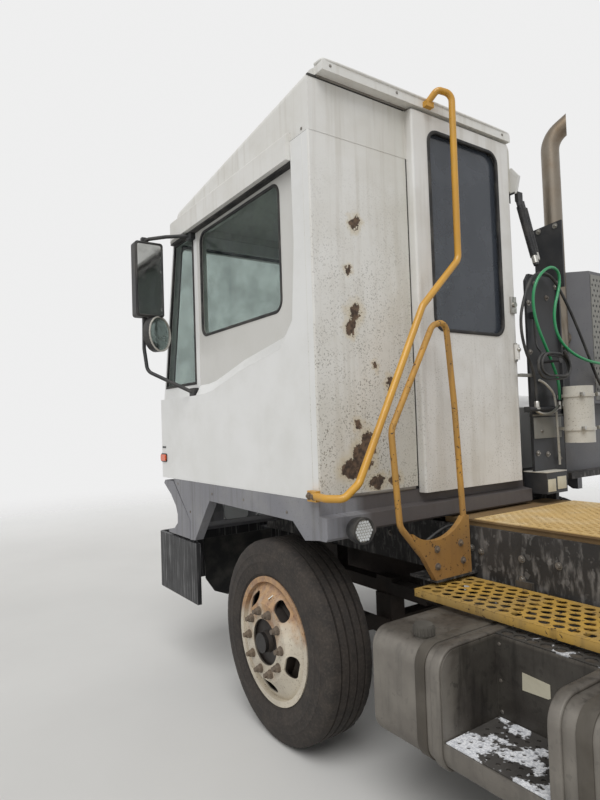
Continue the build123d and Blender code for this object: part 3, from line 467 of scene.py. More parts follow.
def seatCloth():
    # woven upholstery, thread spacing drawn at 4 mm so that it shows
    material, tree, shader, coords = newMaterial("seatCloth")
    threads = {"Vector": coords, "Scale": clothLook["threads"], "Distortion": 0.4}
    across, along = (
        addNode(tree, "ShaderNodeTexWave", threads, "Fac", bands_direction=axis) for axis in ("X", "Z")
    )
    weave = addNode(tree, "ShaderNodeMath", {0: across, 1: along}, operation="MULTIPLY")
    bump = addNode(tree, "ShaderNodeBump", {"Height": weave, "Strength": 0.5, "Distance": 0.001})
    feed(tree, shader, {
        "Base Color": layColours(tree, clothLook["dark"], [(weave, 1, clothLook["light"])]), "Normal": bump,
        "Roughness": clothLook["roughness"], "Sheen Weight": clothLook["sheen"],
    })
    return material


wheelSizes = {"axleZ": 475, "frontAxleY": -1217, "rearAxleY": 1729, "nutCircle": 142.9, "nuts": 10, "hubRibs": 8}
wheelLook = {  # rustFrom and rustTo are heights in metres
    "enamel": "#CFC6B4", "grime": "#9C9283", "rust": "#B07C3A", "rustDark": "#8A5526", "pits": "#5A3C22",
    "hub": "#1D1A18", "shadeInBarrels": "#231D19", "rustFrom": 0.42, "rustTo": 0.72,
}


def wheelPaint():
    # cream wheel enamel on pressed steel; rust has broken through over the upper half and runs from the nuts
    material, tree, shader, coords = newMaterial("wheelEnamel")
    upper = rampAlong(tree, coords, "Z", wheelLook["rustFrom"], wheelLook["rustTo"])
    cloud = noiseMask(tree, coords, 9, 0.3, 0.7, 5.0, seedShift=1.3)
    share = addNode(tree, "ShaderNodeMath", {0: cloud, 1: 0.55, 2: upper}, operation="MULTIPLY_ADD")
    share = addNode(tree, "ShaderNodeMapRange", {"Value": share, "From Min": 0.45, "From Max": 1.05}, clamp=True)
    grime = noiseMask(tree, coords, 5, 0.35, 0.7, 6.0, seedShift=4.0)
    colour = layColours(tree, wheelLook["enamel"], [(grime, 0.55, wheelLook["grime"])])
    stain = layColours(tree, wheelLook["rust"], [(noiseMask(tree, coords, 30, 0.35, 0.65), 1, wheelLook["rustDark"])])
    pits = noiseMask(tree, coords, 110, 0.6, 0.66, 3.0, seedShift=7.0)
    colour = layColours(tree, colour, [(share, 0.7, stain), (pits, 0.5, wheelLook["pits"])])
    # the hub's dark ring, by the distance to the nearer axle
    reach = nearestDistance(tree, coords, [
        ((0.0, wheelSizes[axle] / 1000, wheelSizes["axleZ"] / 1000), (0.0, 1.0, 1.0))
        for axle in ("frontAxleY", "rearAxleY")
    ])
    hub = addNode(tree, "ShaderNodeMapRange", {"Value": reach, "From Min": 0.1075, "From Max": 0.104}, clamp=True)
    colour = layColours(tree, colour, [(hub, 1, wheelLook["hub"])])
    # painted shade in the front barrels and in the disc's hand holes: everything behind the disc's cone
    alongX, alongY = (addNode(tree, "ShaderNodeSeparateXYZ", {"Vector": coords}, axis) for axis in ("X", "Y"))
    outward = addNode(tree, "ShaderNodeMath", {0: alongX}, operation="ABSOLUTE")
    cone = addNode(tree, "ShaderNodeMapRange", {
        "Value": reach, "From Min": 0.178, "From Max": 0.274, "To Max": 0.062,
    }, clamp=True)
    outward = addNode(tree, "ShaderNodeMath", {0: outward, 1: cone}, operation="ADD")
    barrelShade = addNode(tree, "ShaderNodeMapRange", {"Value": outward, "From Min": 1.206, "From Max": 1.2}, clamp=True)
    front = addNode(tree, "ShaderNodeMath", {0: alongY, 1: 0.0}, operation="LESS_THAN")
    barrelShade = addNode(tree, "ShaderNodeMath", {0: barrelShade, 1: front}, operation="MULTIPLY")
    roughness = addNode(tree, "ShaderNodeMapRange", {"Value": share, "To Min": 0.45, "To Max": 0.85})
    bump = addNode(tree, "ShaderNodeBump", {"Height": pits, "Strength": 0.3, "Distance": 0.001}, invert=True)
    feed(tree, shader, {
        "Base Color": layColours(tree, colour, [(barrelShade, 1, wheelLook["shadeInBarrels"])]), "Roughness": roughness,
        "Normal": bump,
    })
    return material


def silveredGlass():
    # second-surface mirror: bright, nearly smooth, with a thin road film
    material, tree, shader, coords = newMaterial("silveredGlass")
    film = noiseMask(tree, coords, 8, 0.4, 0.75, 5.0)
    roughness = addNode(tree, "ShaderNodeMapRange", {"Value": film, "To Min": 0.06, "To Max": 0.35})
    feed(tree, shader, {
        "Base Color": layColours(tree, "#C9CBCB", [(film, 0.4, "#9B9A95")]), "Roughness": roughness,
        "Metallic": 1.0,
    })
    return material


materials["tyreRubber"] = tyreRubber()
materials["sideGlass"] = tintedGlass("sideGlass", "#4A5254", "#E9EEEC", 0.08, 0.03)
materials["doorGlass"] = tintedGlass("doorGlass", "#474C54", "#D5DADD", 0.78, 0.15)
materials["seatCloth"] = seatCloth()
materials["wheelEnamel"] = wheelPaint()
materials["silveredGlass"] = silveredGlass()
print("materials made,", len(materials))

# Finish of every CAD node that stays on show
shownNodes = {
    "chassisBlack": ["frame", "boom"], "bumperBlack": ["front_bumper"],
    "greyTrimPlastic": ["front_fascia", "arch_trims"], "lensClear": ["headlamps"],
    "castIron": ["engine_and_radiator", "front_axle", "rear_axle", "knuckle_left", "knuckle_right"],
    "tankSheet": ["fuel_tank"], "plankYellow": ["step_plank"], "deckGrime": ["deck_plate"],
    "railOchre": ["lower_grab_rail"], "panelBlack": ["battery_box", "air_tanks", "hose_panel", "lift_barrels"],
    "boxGrey": ["treatment_box"], "tintedStainless": ["exhaust_stack"], "canisterWhite": ["filter_canister"],
    "greenSheath": ["green_cable"], "hoseRubber": ["air_hose", "cable_coil", "rear_guards"],
    "mouldedBlack": ["cable_plug", "grille", "mirrors"], "brightSteel": ["hose_coupling"],
    "mouldedDash": ["cab_floor", "dash"], "cabEnamelLeftRecessShade": ["cab_side_left"], "cabEnamelRightRecessShade": ["cab_side_right"],
    "cabEnamelRear": ["cab_rear_wall"], "cabEnamelSide": ["cab_front_frame", "nose_hood"], "sideGlass": ["cab_glass"],
    "lensAmber": ["marker_lamps"], "roofEnamel": ["cab_roof", "roof_visor"], "railYellow": ["upper_grab_rail"],
    "seatCloth": ["seat"], "tenderPaint": ["hose_tender"], "doorEnamel": ["rear_door"],
    "doorGlass": ["rear_door_glass"],
    "tyreRubber": ["tyre_front_left", "tyre_front_right", "tyres_rear_left", "tyres_rear_right"],
    "wheelEnamel": ["rim_front_left", "rim_front_right", "rims_rear_left", "rims_rear_right"],
    "greasyPlate": ["fifth_wheel"], "hardChrome": ["lift_rods"],
}
for finish, nodes in shownNodes.items():
    for node in nodes:
        mesh = cadNodes[node].data
        mesh.materials.clear()
        mesh.materials.append(materials[finish])


def metres(place):
    return [value / 1000 for value in place]


def outward(side, near, far):
    # limits along X on one side of the middle
    return sorted((side * near, side * far))


def addBox(shape, x, y, z, edge=0.0):
    # a box between limits in millimetres, its edges eased when edge is given
    corners = bmesh.ops.create_cube(shape, size=1.0)["verts"]
    for corner in corners:
        corner.co = metres(low + (place + 0.5) * (high - low) for place, (low, high) in zip(corner.co, (x, y, z)))
    if edge:
        edges = list(dict.fromkeys(link for corner in corners for link in corner.link_edges))
        bmesh.ops.bevel(shape, geom=edges, offset=edge / 1000, segments=2, affect="EDGES", profile=0.5)


def skinRings(shape, rings, closed=True):
    # faces from each ring of vertices to the next, and from the last to the first when closed
    for here, after in zip(rings, rings[1:] + (rings[:1] if closed else [])):
        for index in range(len(here)):
            onward = (index + 1) % len(here)
            shape.faces.new((here[index], after[index], after[onward], here[onward]))


def addTurned(shape, profile, centre, axis, steps=48):
    # a closed outline of (along, radius) in millimetres, turned about an axis through centre
    turn = Vector((0, 0, 1)).rotation_difference(Vector(axis)).to_matrix()
    place = Vector(centre) / 1000
    rings = []
    for step in range(steps):
        angle = 2 * math.pi * step / steps
        rings.append([
            shape.verts.new(place + turn @ Vector((radius * math.cos(angle), radius * math.sin(angle), along)) / 1000)
            for along, radius in profile
        ])
    skinRings(shape, rings)


def addPrism(shape, outline, plane, low, high):
    # an outline in one plane ("xz", "yz" or "xy", millimetres) carried from low to high along the third axis
    first, second = ("xyz".index(letter) for letter in plane)
    third = 3 - first - second
    ends = []
    for level in (low, high):
        ring = []
        for point in outline:
            co = [0.0, 0.0, 0.0]
            co[first], co[second], co[third] = point[0] / 1000, point[1] / 1000, level / 1000
            ring.append(shape.verts.new(co))
        ends.append(ring)
    shape.faces.new(ends[0])
    shape.faces.new(reversed(ends[1]))
    for index in range(len(outline)):
        onward = (index + 1) % len(outline)
        shape.faces.new((ends[0][index], ends[0][onward], ends[1][onward], ends[1][index]))


def roundedLoop(low, high, radius, steps=8):
    # a rectangle with rounded corners as a list of (across, up), counter-clockwise
    corners = [(high[0] - radius, high[1] - radius, 0), (low[0] + radius, high[1] - radius, 90),
               (low[0] + radius, low[1] + radius, 180), (high[0] - radius, low[1] + radius, 270)]
    loop = []
    for across, up, start in corners:
        for step in range(steps + 1):
            angle = math.radians(start + 90 * step / steps)
            loop.append((across + radius * math.cos(angle), up + radius * math.sin(angle)))
    return loop


def barPiece(name, body, finish, runs, radius, smooth=True, steps=12, sides=4, stands=()):
    # bent round bars, one spline for each run of (x, y, z)
    data = bpy.data.curves.new(name, "CURVE")
    data.dimensions = "3D"
    for run in runs:
        spline = data.splines.new("NURBS" if smooth else "POLY")
        spline.points.add(len(run) - 1)
        for point, place in zip(spline.points, run):
            point.co = (*metres(place), 1.0)
        if smooth:
            spline.order_u = 3
            spline.use_endpoint_u = True
            spline.resolution_u = steps
    data.bevel_depth = radius / 1000
    data.bevel_resolution = sides
    data.use_fill_caps = True
    return finishPiece(addObject(name, data), body, finish, stands)


# Cords follow the routes of the CAD tubes
greenRoute = [
    (-400, -640, 1590), (-401, -640, 1645), (-384, -638, 1712), (-345, -635, 1776), (-306, -633, 1838),
    (-264, -632, 1902), (-222, -632, 1968), (-192, -632, 2037), (-176, -630, 2105), (-178, -626, 2175),
    (-205, -619, 2240), (-262, -612, 2296), (-335, -608, 2326), (-397, -608, 2305), (-414, -614, 2245),
    (-388, -614, 2180), (-353, -614, 2108), (-340, -614, 2029), (-358, -612, 1952), (-407, -604, 1888),
    (-480, -586, 1838), (-570, -566, 1806), (-680, -558, 1792), (-790, -556, 1794), (-880, -556, 1800),
]
airRoute = [
    (-205, -655, 1575), (-204, -655, 1640), (-196, -653, 1705), (-168, -650, 1775), (-124, -647, 1836),
    (-94, -645, 1903), (-80, -644, 1971), (-84, -644, 2046), (-115, -644, 2124), (-156, -648, 2198),
    (-212, -652, 2262), (-280, -652, 2296), (-350, -650, 2296), (-408, -645, 2268), (-448, -636, 2210),
    (-486, -624, 2140), (-524, -612, 2062), (-570, -602, 1966), (-624, -592, 1853), (-684, -590, 1745),
    (-755, -590, 1655), (-840, -588, 1603), (-920, -588, 1590),
]
# the spare lead: down from its gland, then three loose turns on the peg
spareRoute = [
    (-240, -668, 2040), (-240, -668, 1985), (-239, -666, 1930), (-234, -655, 1880), (-222, -625, 1848),
    (-192, -604, 1826), (-151, -602, 1791), (-158, -601, 1733), (-198, -603, 1705), (-255, -605, 1703),
    (-313, -607, 1701), (-364, -606, 1705), (-419, -604, 1719), (-439, -602, 1769), (-409, -601, 1819),
    (-361, -603, 1827), (-302, -605, 1829), (-246, -601, 1832), (-182, -592, 1838), (-141, -591, 1800),
    (-141, -592, 1742), (-180, -595, 1707), (-243, -596, 1700), (-300, -595, 1701), (-357, -593, 1703),
    (-416, -590, 1717), (-437, -590, 1772), (-414, -592, 1824), (-363, -594, 1840), (-299, -594, 1843),
    (-243, -590, 1841), (-188, -581, 1830), (-156, -582, 1791), (-160, -583, 1743), (-205, -583, 1719),
    (-261, -582, 1716), (-309, -581, 1719), (-364, -580, 1717), (-414, -580, 1733), (-426, -581, 1785),
    (-401, -582, 1818),
]
cordSizes = {"radius": 8, "spareRadius": 6.5, "steps": 8, "sides": 6}


def cordPiece(name, finish, route, radius, node):
    return barPiece(name, "chassis", finish, [route], radius, steps=cordSizes["steps"],
                    sides=cordSizes["sides"], stands=[node])


greenCable = cordPiece("greenCable", "greenSheath", greenRoute, cordSizes["radius"], "green_cable")
airHose = cordPiece("airHose", "hoseRubber", airRoute, cordSizes["radius"], "air_hose")
spareLead = cordPiece("spareLead", "hoseRubber", spareRoute, cordSizes["spareRadius"], "cable_coil")
leadEnd, leadBefore = Vector(spareRoute[-1]), Vector(spareRoute[-2])
spareConnector = makePiece("spareConnector", "chassis", "mouldedBlack", [
    (addTurned, [
        (-8, 0), (-8, 6.5), (0, 7.5), (4, 10), (28, 10), (28, 11.5), (34, 11.5), (34, 9.5), (50, 9.5), (50, 0),
    ], leadEnd, (leadEnd - leadBefore).normalized(), 24),
])
print("cords made")


def newGroup(name, inputs):
    group = bpy.data.node_groups.new(name, "GeometryNodeTree")
    group.interface.new_socket("Geometry", in_out="INPUT", socket_type="NodeSocketGeometry")
    group.interface.new_socket("Geometry", in_out="OUTPUT", socket_type="NodeSocketGeometry")
    for inputName, kind, value in inputs:
        socket = group.interface.new_socket(inputName, in_out="INPUT", socket_type="NodeSocket" + kind)
        if value is not None:
            socket.default_value = value
    return group, group.nodes.new("NodeGroupInput").outputs, group.nodes.new("NodeGroupOutput")


def endGroup(group, groupOutput, geometry, material):
    real = addNode(group, "GeometryNodeRealizeInstances", {"Geometry": geometry})
    painted = addNode(group, "GeometryNodeSetMaterial", {"Geometry": real, "Material": material})
    group.links.new(painted, groupOutput.inputs[0])


def growPiece(name, body, finish, group, carrier, values, sharpAngle=35, stands=()):
    # the carrier mesh goes through the group once, and the result is kept as a plain mesh
    piece = addObject(name, carrier)
    modifier = piece.modifiers.new("grow", "NODES")
    modifier.node_group = group
    values = dict(values, Finish=materials[finish])
    for item in group.interface.items_tree:
        if item.in_out == "INPUT" and item.name in values:
            modifier[item.identifier] = values[item.name]
    graph = bpy.context.evaluated_depsgraph_get()
    mesh = bpy.data.meshes.new_from_object(piece.evaluated_get(graph), depsgraph=graph)
    piece.modifiers.clear()
    piece.data = mesh
    smoothMesh(mesh, sharpAngle)
    return finishPiece(piece, body, stands=stands)


def pointMesh(name, places):
    # points with the way each one faces; places are ((x, y, z), (facing))
    mesh = bpy.data.meshes.new(name)
    mesh.from_pydata([metres(place) for place, facing in places], [], [])
    facings = mesh.attributes.new("facing", "FLOAT_VECTOR", "POINT")
    for item, (place, facing) in zip(facings.data, places):
        item.vector = facing
    return mesh


def loopMesh(name, loops):
    # closed loops of (x, y, z), as edges
    mesh = bpy.data.meshes.new(name)
    points, edges = [], []
    for loop in loops:
        first = len(points)
        points += [metres(point) for point in loop]
        edges += [(first + index, first + (index + 1) % len(loop)) for index in range(len(loop))]
    mesh.from_pydata(points, edges, [])
    return mesh


def makeFastenerGroup():
    # a washer, a head and a stud on every point
    group, given, groupOutput = newGroup("fasteners", [
        ("Head Radius", "Float", 0.012), ("Head Height", "Float", 0.010), ("Head Sides", "Int", 6),
        ("Washer Radius", "Float", 0.016), ("Washer Height", "Float", 0.003),
        ("Stud Radius", "Float", 0.006), ("Stud Height", "Float", 0.016), ("Finish", "Material", None),
    ])
    headHeight = given["Head Height"]
    lowerHeight, coneHeight, shoulder = (
        addNode(group, "ShaderNodeMath", {0: size, 1: share}, operation="MULTIPLY")
        for size, share in ((headHeight, 0.75), (headHeight, 0.25), (given["Head Radius"], 0.84))
    )
    head = addNode(group, "GeometryNodeMeshCone", {
        "Vertices": given["Head Sides"], "Radius Top": shoulder, "Radius Bottom": given["Head Radius"],
        "Depth": coneHeight,
    })
    headTop = addNode(group, "ShaderNodeCombineXYZ", {"Z": lowerHeight})
    raised = [addNode(group, "GeometryNodeTransform", {"Geometry": head, "Translation": headTop})]
    for sides, radius, height in (
        (20, given["Washer Radius"], given["Washer Height"]), (12, given["Stud Radius"], given["Stud Height"]),
        (given["Head Sides"], given["Head Radius"], lowerHeight),
    ):
        disc = addNode(group, "GeometryNodeMeshCylinder", {"Vertices": sides, "Radius": radius, "Depth": height})
        middle = addNode(group, "ShaderNodeMath", {0: height, 1: 0.5}, operation="MULTIPLY")
        lift = addNode(group, "ShaderNodeCombineXYZ", {"Z": middle})
        raised.append(addNode(group, "GeometryNodeTransform", {"Geometry": disc, "Translation": lift}))
    joined = addNode(group, "GeometryNodeJoinGeometry", {0: raised})
    facing = addNode(group, "GeometryNodeInputNamedAttribute", {"Name": "facing"}, data_type="FLOAT_VECTOR")
    turn = addNode(group, "FunctionNodeAlignRotationToVector", {"Vector": facing}, axis="Z")
    placed = addNode(group, "GeometryNodeInstanceOnPoints", {
        "Points": given["Geometry"], "Instance": joined, "Rotation": turn,
    })
    endGroup(group, groupOutput, placed, given["Finish"])
    return group


def makeSealGroup():
    # a rounded strip that follows each loop: Width lies in the loop's plane, Height stands out of it
    group, given, groupOutput = newGroup("sealStrips", [
        ("Width", "Float", 0.02), ("Height", "Float", 0.008), ("Corner", "Float", 0.003),
        ("Plane", "Vector", (1.0, 0.0, 0.0)), ("Finish", "Material", None),
    ])
    path = addNode(group, "GeometryNodeMeshToCurve", {"Mesh": given["Geometry"]})
    path = addNode(group, "GeometryNodeSetCurveNormal", {"Curve": path, "Normal": given["Plane"]}, mode="FREE")
    section = addNode(group, "GeometryNodeCurvePrimitiveQuadrilateral", {
        "Width": given["Height"], "Height": given["Width"],
    })
    section = addNode(group, "GeometryNodeFilletCurve", {
        "Curve": section, "Radius": given["Corner"], "Count": 2,
    }, mode="POLY")
    strip = addNode(group, "GeometryNodeCurveToMesh", {"Curve": path, "Profile Curve": section})
    endGroup(group, groupOutput, strip, given["Finish"])
    return group


def makeSheetGroup():
    # a sheet with rows of holes, every other row shifted by half a pitch; made flat, then turned and put in place
    group, given, groupOutput = newGroup("perforatedSheet", [
        ("Hole Radius", "Float", 0.018), ("Hole Sides", "Int", 16), ("Hole Stretch", "Float", 1.0),
        ("Pitch Along", "Float", 0.05), ("Pitch Across", "Float", 0.045),
        ("Count Along", "Int", 10), ("Count Across", "Int", 5), ("Thickness", "Float", 0.003),
        ("Centre", "Vector", (0.0, 0.0, 0.0)), ("Turn", "Rotation", None), ("Finish", "Material", None),
    ])
    index = addNode(group, "GeometryNodeInputIndex")
    total = addNode(group, "ShaderNodeMath", {
        0: given["Count Along"], 1: given["Count Across"],
    }, operation="MULTIPLY")
    cloud = addNode(group, "GeometryNodePoints", {"Count": total})
    row = addNode(group, "ShaderNodeMath", {0: index, 1: given["Count Along"]}, operation="DIVIDE")
    row = addNode(group, "ShaderNodeMath", {0: row}, operation="FLOOR")
    column = addNode(group, "ShaderNodeMath", {0: index, 1: given["Count Along"]}, operation="MODULO")
    odd = addNode(group, "ShaderNodeMath", {0: row, 1: 2.0}, operation="MODULO")
    middles = []
    for count, extra in ((given["Count Along"], -0.5), (given["Count Across"], -1.0)):
        less = addNode(group, "ShaderNodeMath", {0: count, 1: extra}, operation="ADD")
        middles.append(addNode(group, "ShaderNodeMath", {0: less, 1: 0.5}, operation="MULTIPLY"))
    along = addNode(group, "ShaderNodeMath", {0: odd, 1: 0.5, 2: column}, operation="MULTIPLY_ADD")
    along = addNode(group, "ShaderNodeMath", {0: along, 1: middles[0]}, operation="SUBTRACT")
    along = addNode(group, "ShaderNodeMath", {0: along, 1: given["Pitch Along"]}, operation="MULTIPLY")
    across = addNode(group, "ShaderNodeMath", {0: row, 1: middles[1]}, operation="SUBTRACT")
    across = addNode(group, "ShaderNodeMath", {0: across, 1: given["Pitch Across"]}, operation="MULTIPLY")
    place = addNode(group, "ShaderNodeCombineXYZ", {"X": along, "Y": across})
    cloud = addNode(group, "GeometryNodeSetPosition", {"Geometry": cloud, "Position": place})
    hole = addNode(group, "GeometryNodeCurvePrimitiveCircle", {
        "Resolution": given["Hole Sides"], "Radius": given["Hole Radius"],
    })
    stretch = addNode(group, "ShaderNodeCombineXYZ", {"X": given["Hole Stretch"], "Y": 1.0, "Z": 1.0})
    hole = addNode(group, "GeometryNodeTransform", {"Geometry": hole, "Scale": stretch})
    holes = addNode(group, "GeometryNodeInstanceOnPoints", {"Points": cloud, "Instance": hole})
    holes = addNode(group, "GeometryNodeRealizeInstances", {"Geometry": holes})
    rim = addNode(group, "GeometryNodeMeshToCurve", {"Mesh": given["Geometry"]})
    joined = addNode(group, "GeometryNodeJoinGeometry", {0: [holes, rim]})
    filled = addNode(group, "GeometryNodeFillCurve", {"Curve": joined})
    raised = addNode(group, "GeometryNodeExtrudeMesh", {
        "Mesh": filled, "Offset Scale": given["Thickness"], "Individual": False,
    })
    under = addNode(group, "GeometryNodeFlipFaces", {"Mesh": filled})
    both = addNode(group, "GeometryNodeJoinGeometry", {0: [raised, under]})
    solid = addNode(group, "GeometryNodeMergeByDistance", {"Geometry": both, "Distance": 0.00005})
    placed = addNode(group, "GeometryNodeTransform", {
        "Geometry": solid, "Translation": given["Centre"], "Rotation": given["Turn"],
    })
    endGroup(group, groupOutput, placed, given["Finish"])
    return group


def makeSpringGroup():
    group, given, groupOutput = newGroup("springCoil", [
        ("Coil Radius", "Float", 0.016), ("Wire Radius", "Float", 0.003), ("Turns", "Float", 40.0),
        ("Length", "Float", 0.4), ("Base", "Vector", (0.0, 0.0, 0.0)), ("Turn", "Rotation", None),
        ("Finish", "Material", None),
    ])
    helix = addNode(group, "GeometryNodeCurveSpiral", {
        "Resolution": 14, "Rotations": given["Turns"], "Start Radius": given["Coil Radius"],
        "End Radius": given["Coil Radius"], "Height": given["Length"],
    })
    wire = addNode(group, "GeometryNodeCurvePrimitiveCircle", {"Resolution": 6, "Radius": given["Wire Radius"]})
    tube = addNode(group, "GeometryNodeCurveToMesh", {"Curve": helix, "Profile Curve": wire, "Fill Caps": True})
    placed = addNode(group, "GeometryNodeTransform", {
        "Geometry": tube, "Translation": given["Base"], "Rotation": given["Turn"],
    })
    endGroup(group, groupOutput, placed, given["Finish"])
    return group


fastenerGroup = makeFastenerGroup()
sealGroup = makeSealGroup()
sheetGroup = makeSheetGroup()
springGroup = makeSpringGroup()
print("node groups made")

# Tyres: rubber with lip, sidewall rings, shoulder blocks and four tread grooves
tyreShape = {
    "steps": 180, "grooveAt": (22, 64), "grooveWidth": 11, "grooveDepth": 13, "shoulderDip": 2.5, "blockSteps": 6,
    "crown": 475, "crownDrop": 2.6, "treadHalf": 99,
    "wall": [  # x and radius from the bead to the shoulder
        (106, 283), (111, 287), (114, 293), (113, 299), (116, 303), (119.5, 312), (121, 313), (122.5, 311.5),
        (127, 330), (130, 350), (131.3, 364), (132.4, 366), (132.4, 372), (131.8, 374), (131.9, 388), (130.6, 402),
        (131.2, 404), (130.8, 409), (129, 411), (126.6, 424), (123, 438), (119.5, 447), (115.5, 456), (108, 465.5),
        (99, 470.6),
    ],
}
wheels = [  # body, CAD tyre, side, tyres' middle x, axle y
    ("wheel_front_left", "tyre_front_left", 1, (1055,), wheelSizes["frontAxleY"]),
    ("wheel_front_right", "tyre_front_right", -1, (1055,), wheelSizes["frontAxleY"]),
    ("wheels_rear_left", "tyres_rear_left", 1, (1050, 720), wheelSizes["rearAxleY"]),
    ("wheels_rear_right", "tyres_rear_right", -1, (1050, 720), wheelSizes["rearAxleY"]),
]


def tyreProfile():
    tread = []
    half = tyreShape["grooveWidth"] / 2
    for middle in sorted(tyreShape["grooveAt"], reverse=True):
        crown = tyreShape["crown"] - tyreShape["crownDrop"] * (middle / tyreShape["treadHalf"]) ** 2
        floor = crown - tyreShape["grooveDepth"]
        tread += [
            (middle + half, crown), (middle + half - 2.2, floor), (middle - half + 2.2, floor),
            (middle - half, crown),
        ]
    right = tyreShape["wall"] + tread
    return right + [(-across, radius) for across, radius in reversed(right)]


def roundAxle(x, axleY, radius, angle):
    # a place on a circle round a wheel's axle
    return x, axleY + radius * math.sin(angle), wheelSizes["axleZ"] + radius * math.cos(angle)


def makeTyre(body, tyreNode, side, middles, axleY):
    shape = bmesh.new()
    profile = tyreProfile()
    steps = tyreShape["steps"]
    for middle in middles:
        rings = []
        for step in range(steps):
            angle = 2 * math.pi * step / steps
            ring = []
            for across, radius in profile:
                if step % tyreShape["blockSteps"] == 0 and 455 < radius < 472 and abs(across) > 95:
                    radius -= tyreShape["shoulderDip"]  # cuts between the shoulder blocks
                ring.append(shape.verts.new(metres(roundAxle(side * middle + across, axleY, radius, angle))))
            rings.append(ring)
        skinRings(shape, rings)
    finishPiece(toMesh(tyreNode + "Rubber", shape, 28), body, "tyreRubber", [tyreNode])


# Hubs, nuts and drums; outlines are (out from start, radius), nutFace is where the nuts sit
hubSizes = {
    "front": {
        "nutFace": 1210, "start": 1178, "ribOut": 2, "ribCircle": 84,
        "outline": [(0, 0), (0, 58), (10, 58), (13, 52), (44, 44), (52, 40), (54, 30), (54, 0)], "drumStart": 1022,
        "drum": [(0, 205), (0, 228), (84, 228), (92, 221), (128, 180), (128, 60), (120, 60), (120, 172), (84, 214),
                 (80, 205)],
    },
    "rear": {
        "nutFace": 950, "start": 1010, "ribOut": 98, "ribCircle": 78,
        "outline": [(90, 0), (90, 92), (98, 92), (100, 84), (100, 40), (104, 36), (112, 34), (112, 0)],
        "drumStart": 760, "drum": [(0, 204), (0, 228), (95, 214), (95, 176), (87, 176), (87, 204)],
    },
}
wheelNut = {
    "Head Radius": 0.0185, "Head Height": 0.022, "Head Sides": 6, "Washer Radius": 0.021, "Washer Height": 0.005,
    "Stud Radius": 0.011, "Stud Height": 0.036,
}


def makeHub(body, side, axleY):
    # nuts on their circle, the flange with its ribs, the tyre valve and the brake drum behind the disc
    sizes = hubSizes["front" if "front" in body else "rear"]
    face, start, way = sizes["nutFace"], sizes["start"], (side, 0, 0)
    nutTurns = [2 * math.pi * (index + 0.5) / wheelSizes["nuts"] for index in range(wheelSizes["nuts"])]
    places = [(roundAxle(side * face, axleY, wheelSizes["nutCircle"], turn), way) for turn in nutTurns]
    nutPlaces = pointMesh(body + "NutPlaces", places)
    growPiece(body + "Nuts", body, "rustyNut", fastenerGroup, nutPlaces, wheelNut)
    forms = [(addTurned, sizes["outline"], (side * start, axleY, wheelSizes["axleZ"]), way, 32)]
    for index in range(wheelSizes["hubRibs"]):
        turn = 2 * math.pi * index / wheelSizes["hubRibs"]
        spot = roundAxle(side * (start + sizes["ribOut"]), axleY, sizes["ribCircle"], turn)
        forms.append((addTurned, [(0, 0), (0, 8), (9, 8), (9, 0)], spot, way, 6))
    makePiece(body + "Hub", body, "hubCasting", forms)
    stem = [(side * (face - 60), axleY + 40, 710), (side * (face - 8), axleY + 30, 680)]
    barPiece(body + "Valve", body, "brightSteel", [stem], 4, smooth=False)
    makePiece(body + "Drum", body, "hubCasting", [
        (addTurned, sizes["drum"], (side * sizes["drumStart"], axleY, wheelSizes["axleZ"]), way, 48),
    ])


for body, tyreNode, side, middles, axleY in wheels:
    makeTyre(body, tyreNode, side, middles, axleY)
    makeHub(body, side, axleY)
print("wheels made")


def stripPiece(name, body, finish, loops, plane, width=0.016, height=0.012, corner=0.004):
    # a strip along closed loops; plane is the direction in which its height stands
    return growPiece(name, body, finish, sealGroup, loopMesh(name + "Path", loops), {
        "Width": width, "Height": height, "Corner": corner, "Plane": plane,
    }, 50)


# Rubber round every pane: window openings as (across, up)
sideLoop = roundedLoop((-1906, 2036), (-1044, 2641), 56)
quarterLoop = [(-2004, 1768), (-2468, 1768), (-2276, 2666), (-2004, 2666)]
doorLoop = roundedLoop((-10, 1936), (512, 2914), 62)
screenSizes = {"footY": -2520, "footZ": 1690, "topY": -2290, "topZ": 2759}
screenLean = (screenSizes["topY"] - screenSizes["footY"]) / (screenSizes["topZ"] - screenSizes["footZ"])


def onScreen(x, z, out):
    # a place that stands out of the sloped windscreen
    return x, screenSizes["footY"] + (z - screenSizes["footZ"]) * screenLean - out, z


stripPiece("sideWindowRubber", "cab", "sealRubber",
           [[(x, y, z) for y, z in sideLoop] for x in (1163, -153)], (1.0, 0.0, 0.0))
stripPiece("quarterWindowRubber", "cab", "sealRubber",
           [[(x, y, z) for y, z in quarterLoop] for x in (1166, -156)], (1.0, 0.0, 0.0), 0.024, 0.014)
stripPiece("doorWindowRubber", "rear_door", "sealRubber",
           [[(x, -703, z) for x, z in doorLoop]], (0.0, 1.0, 0.0), 0.017, 0.016)
stripPiece("screenRubber", "cab", "sealRubber",
           [[onScreen(x, z, -2) for x, z in roundedLoop((-106, 1769), (1116, 2686), 45)]],
           (0.0, -1.0, screenLean), 0.03)
print("rubbers fitted")

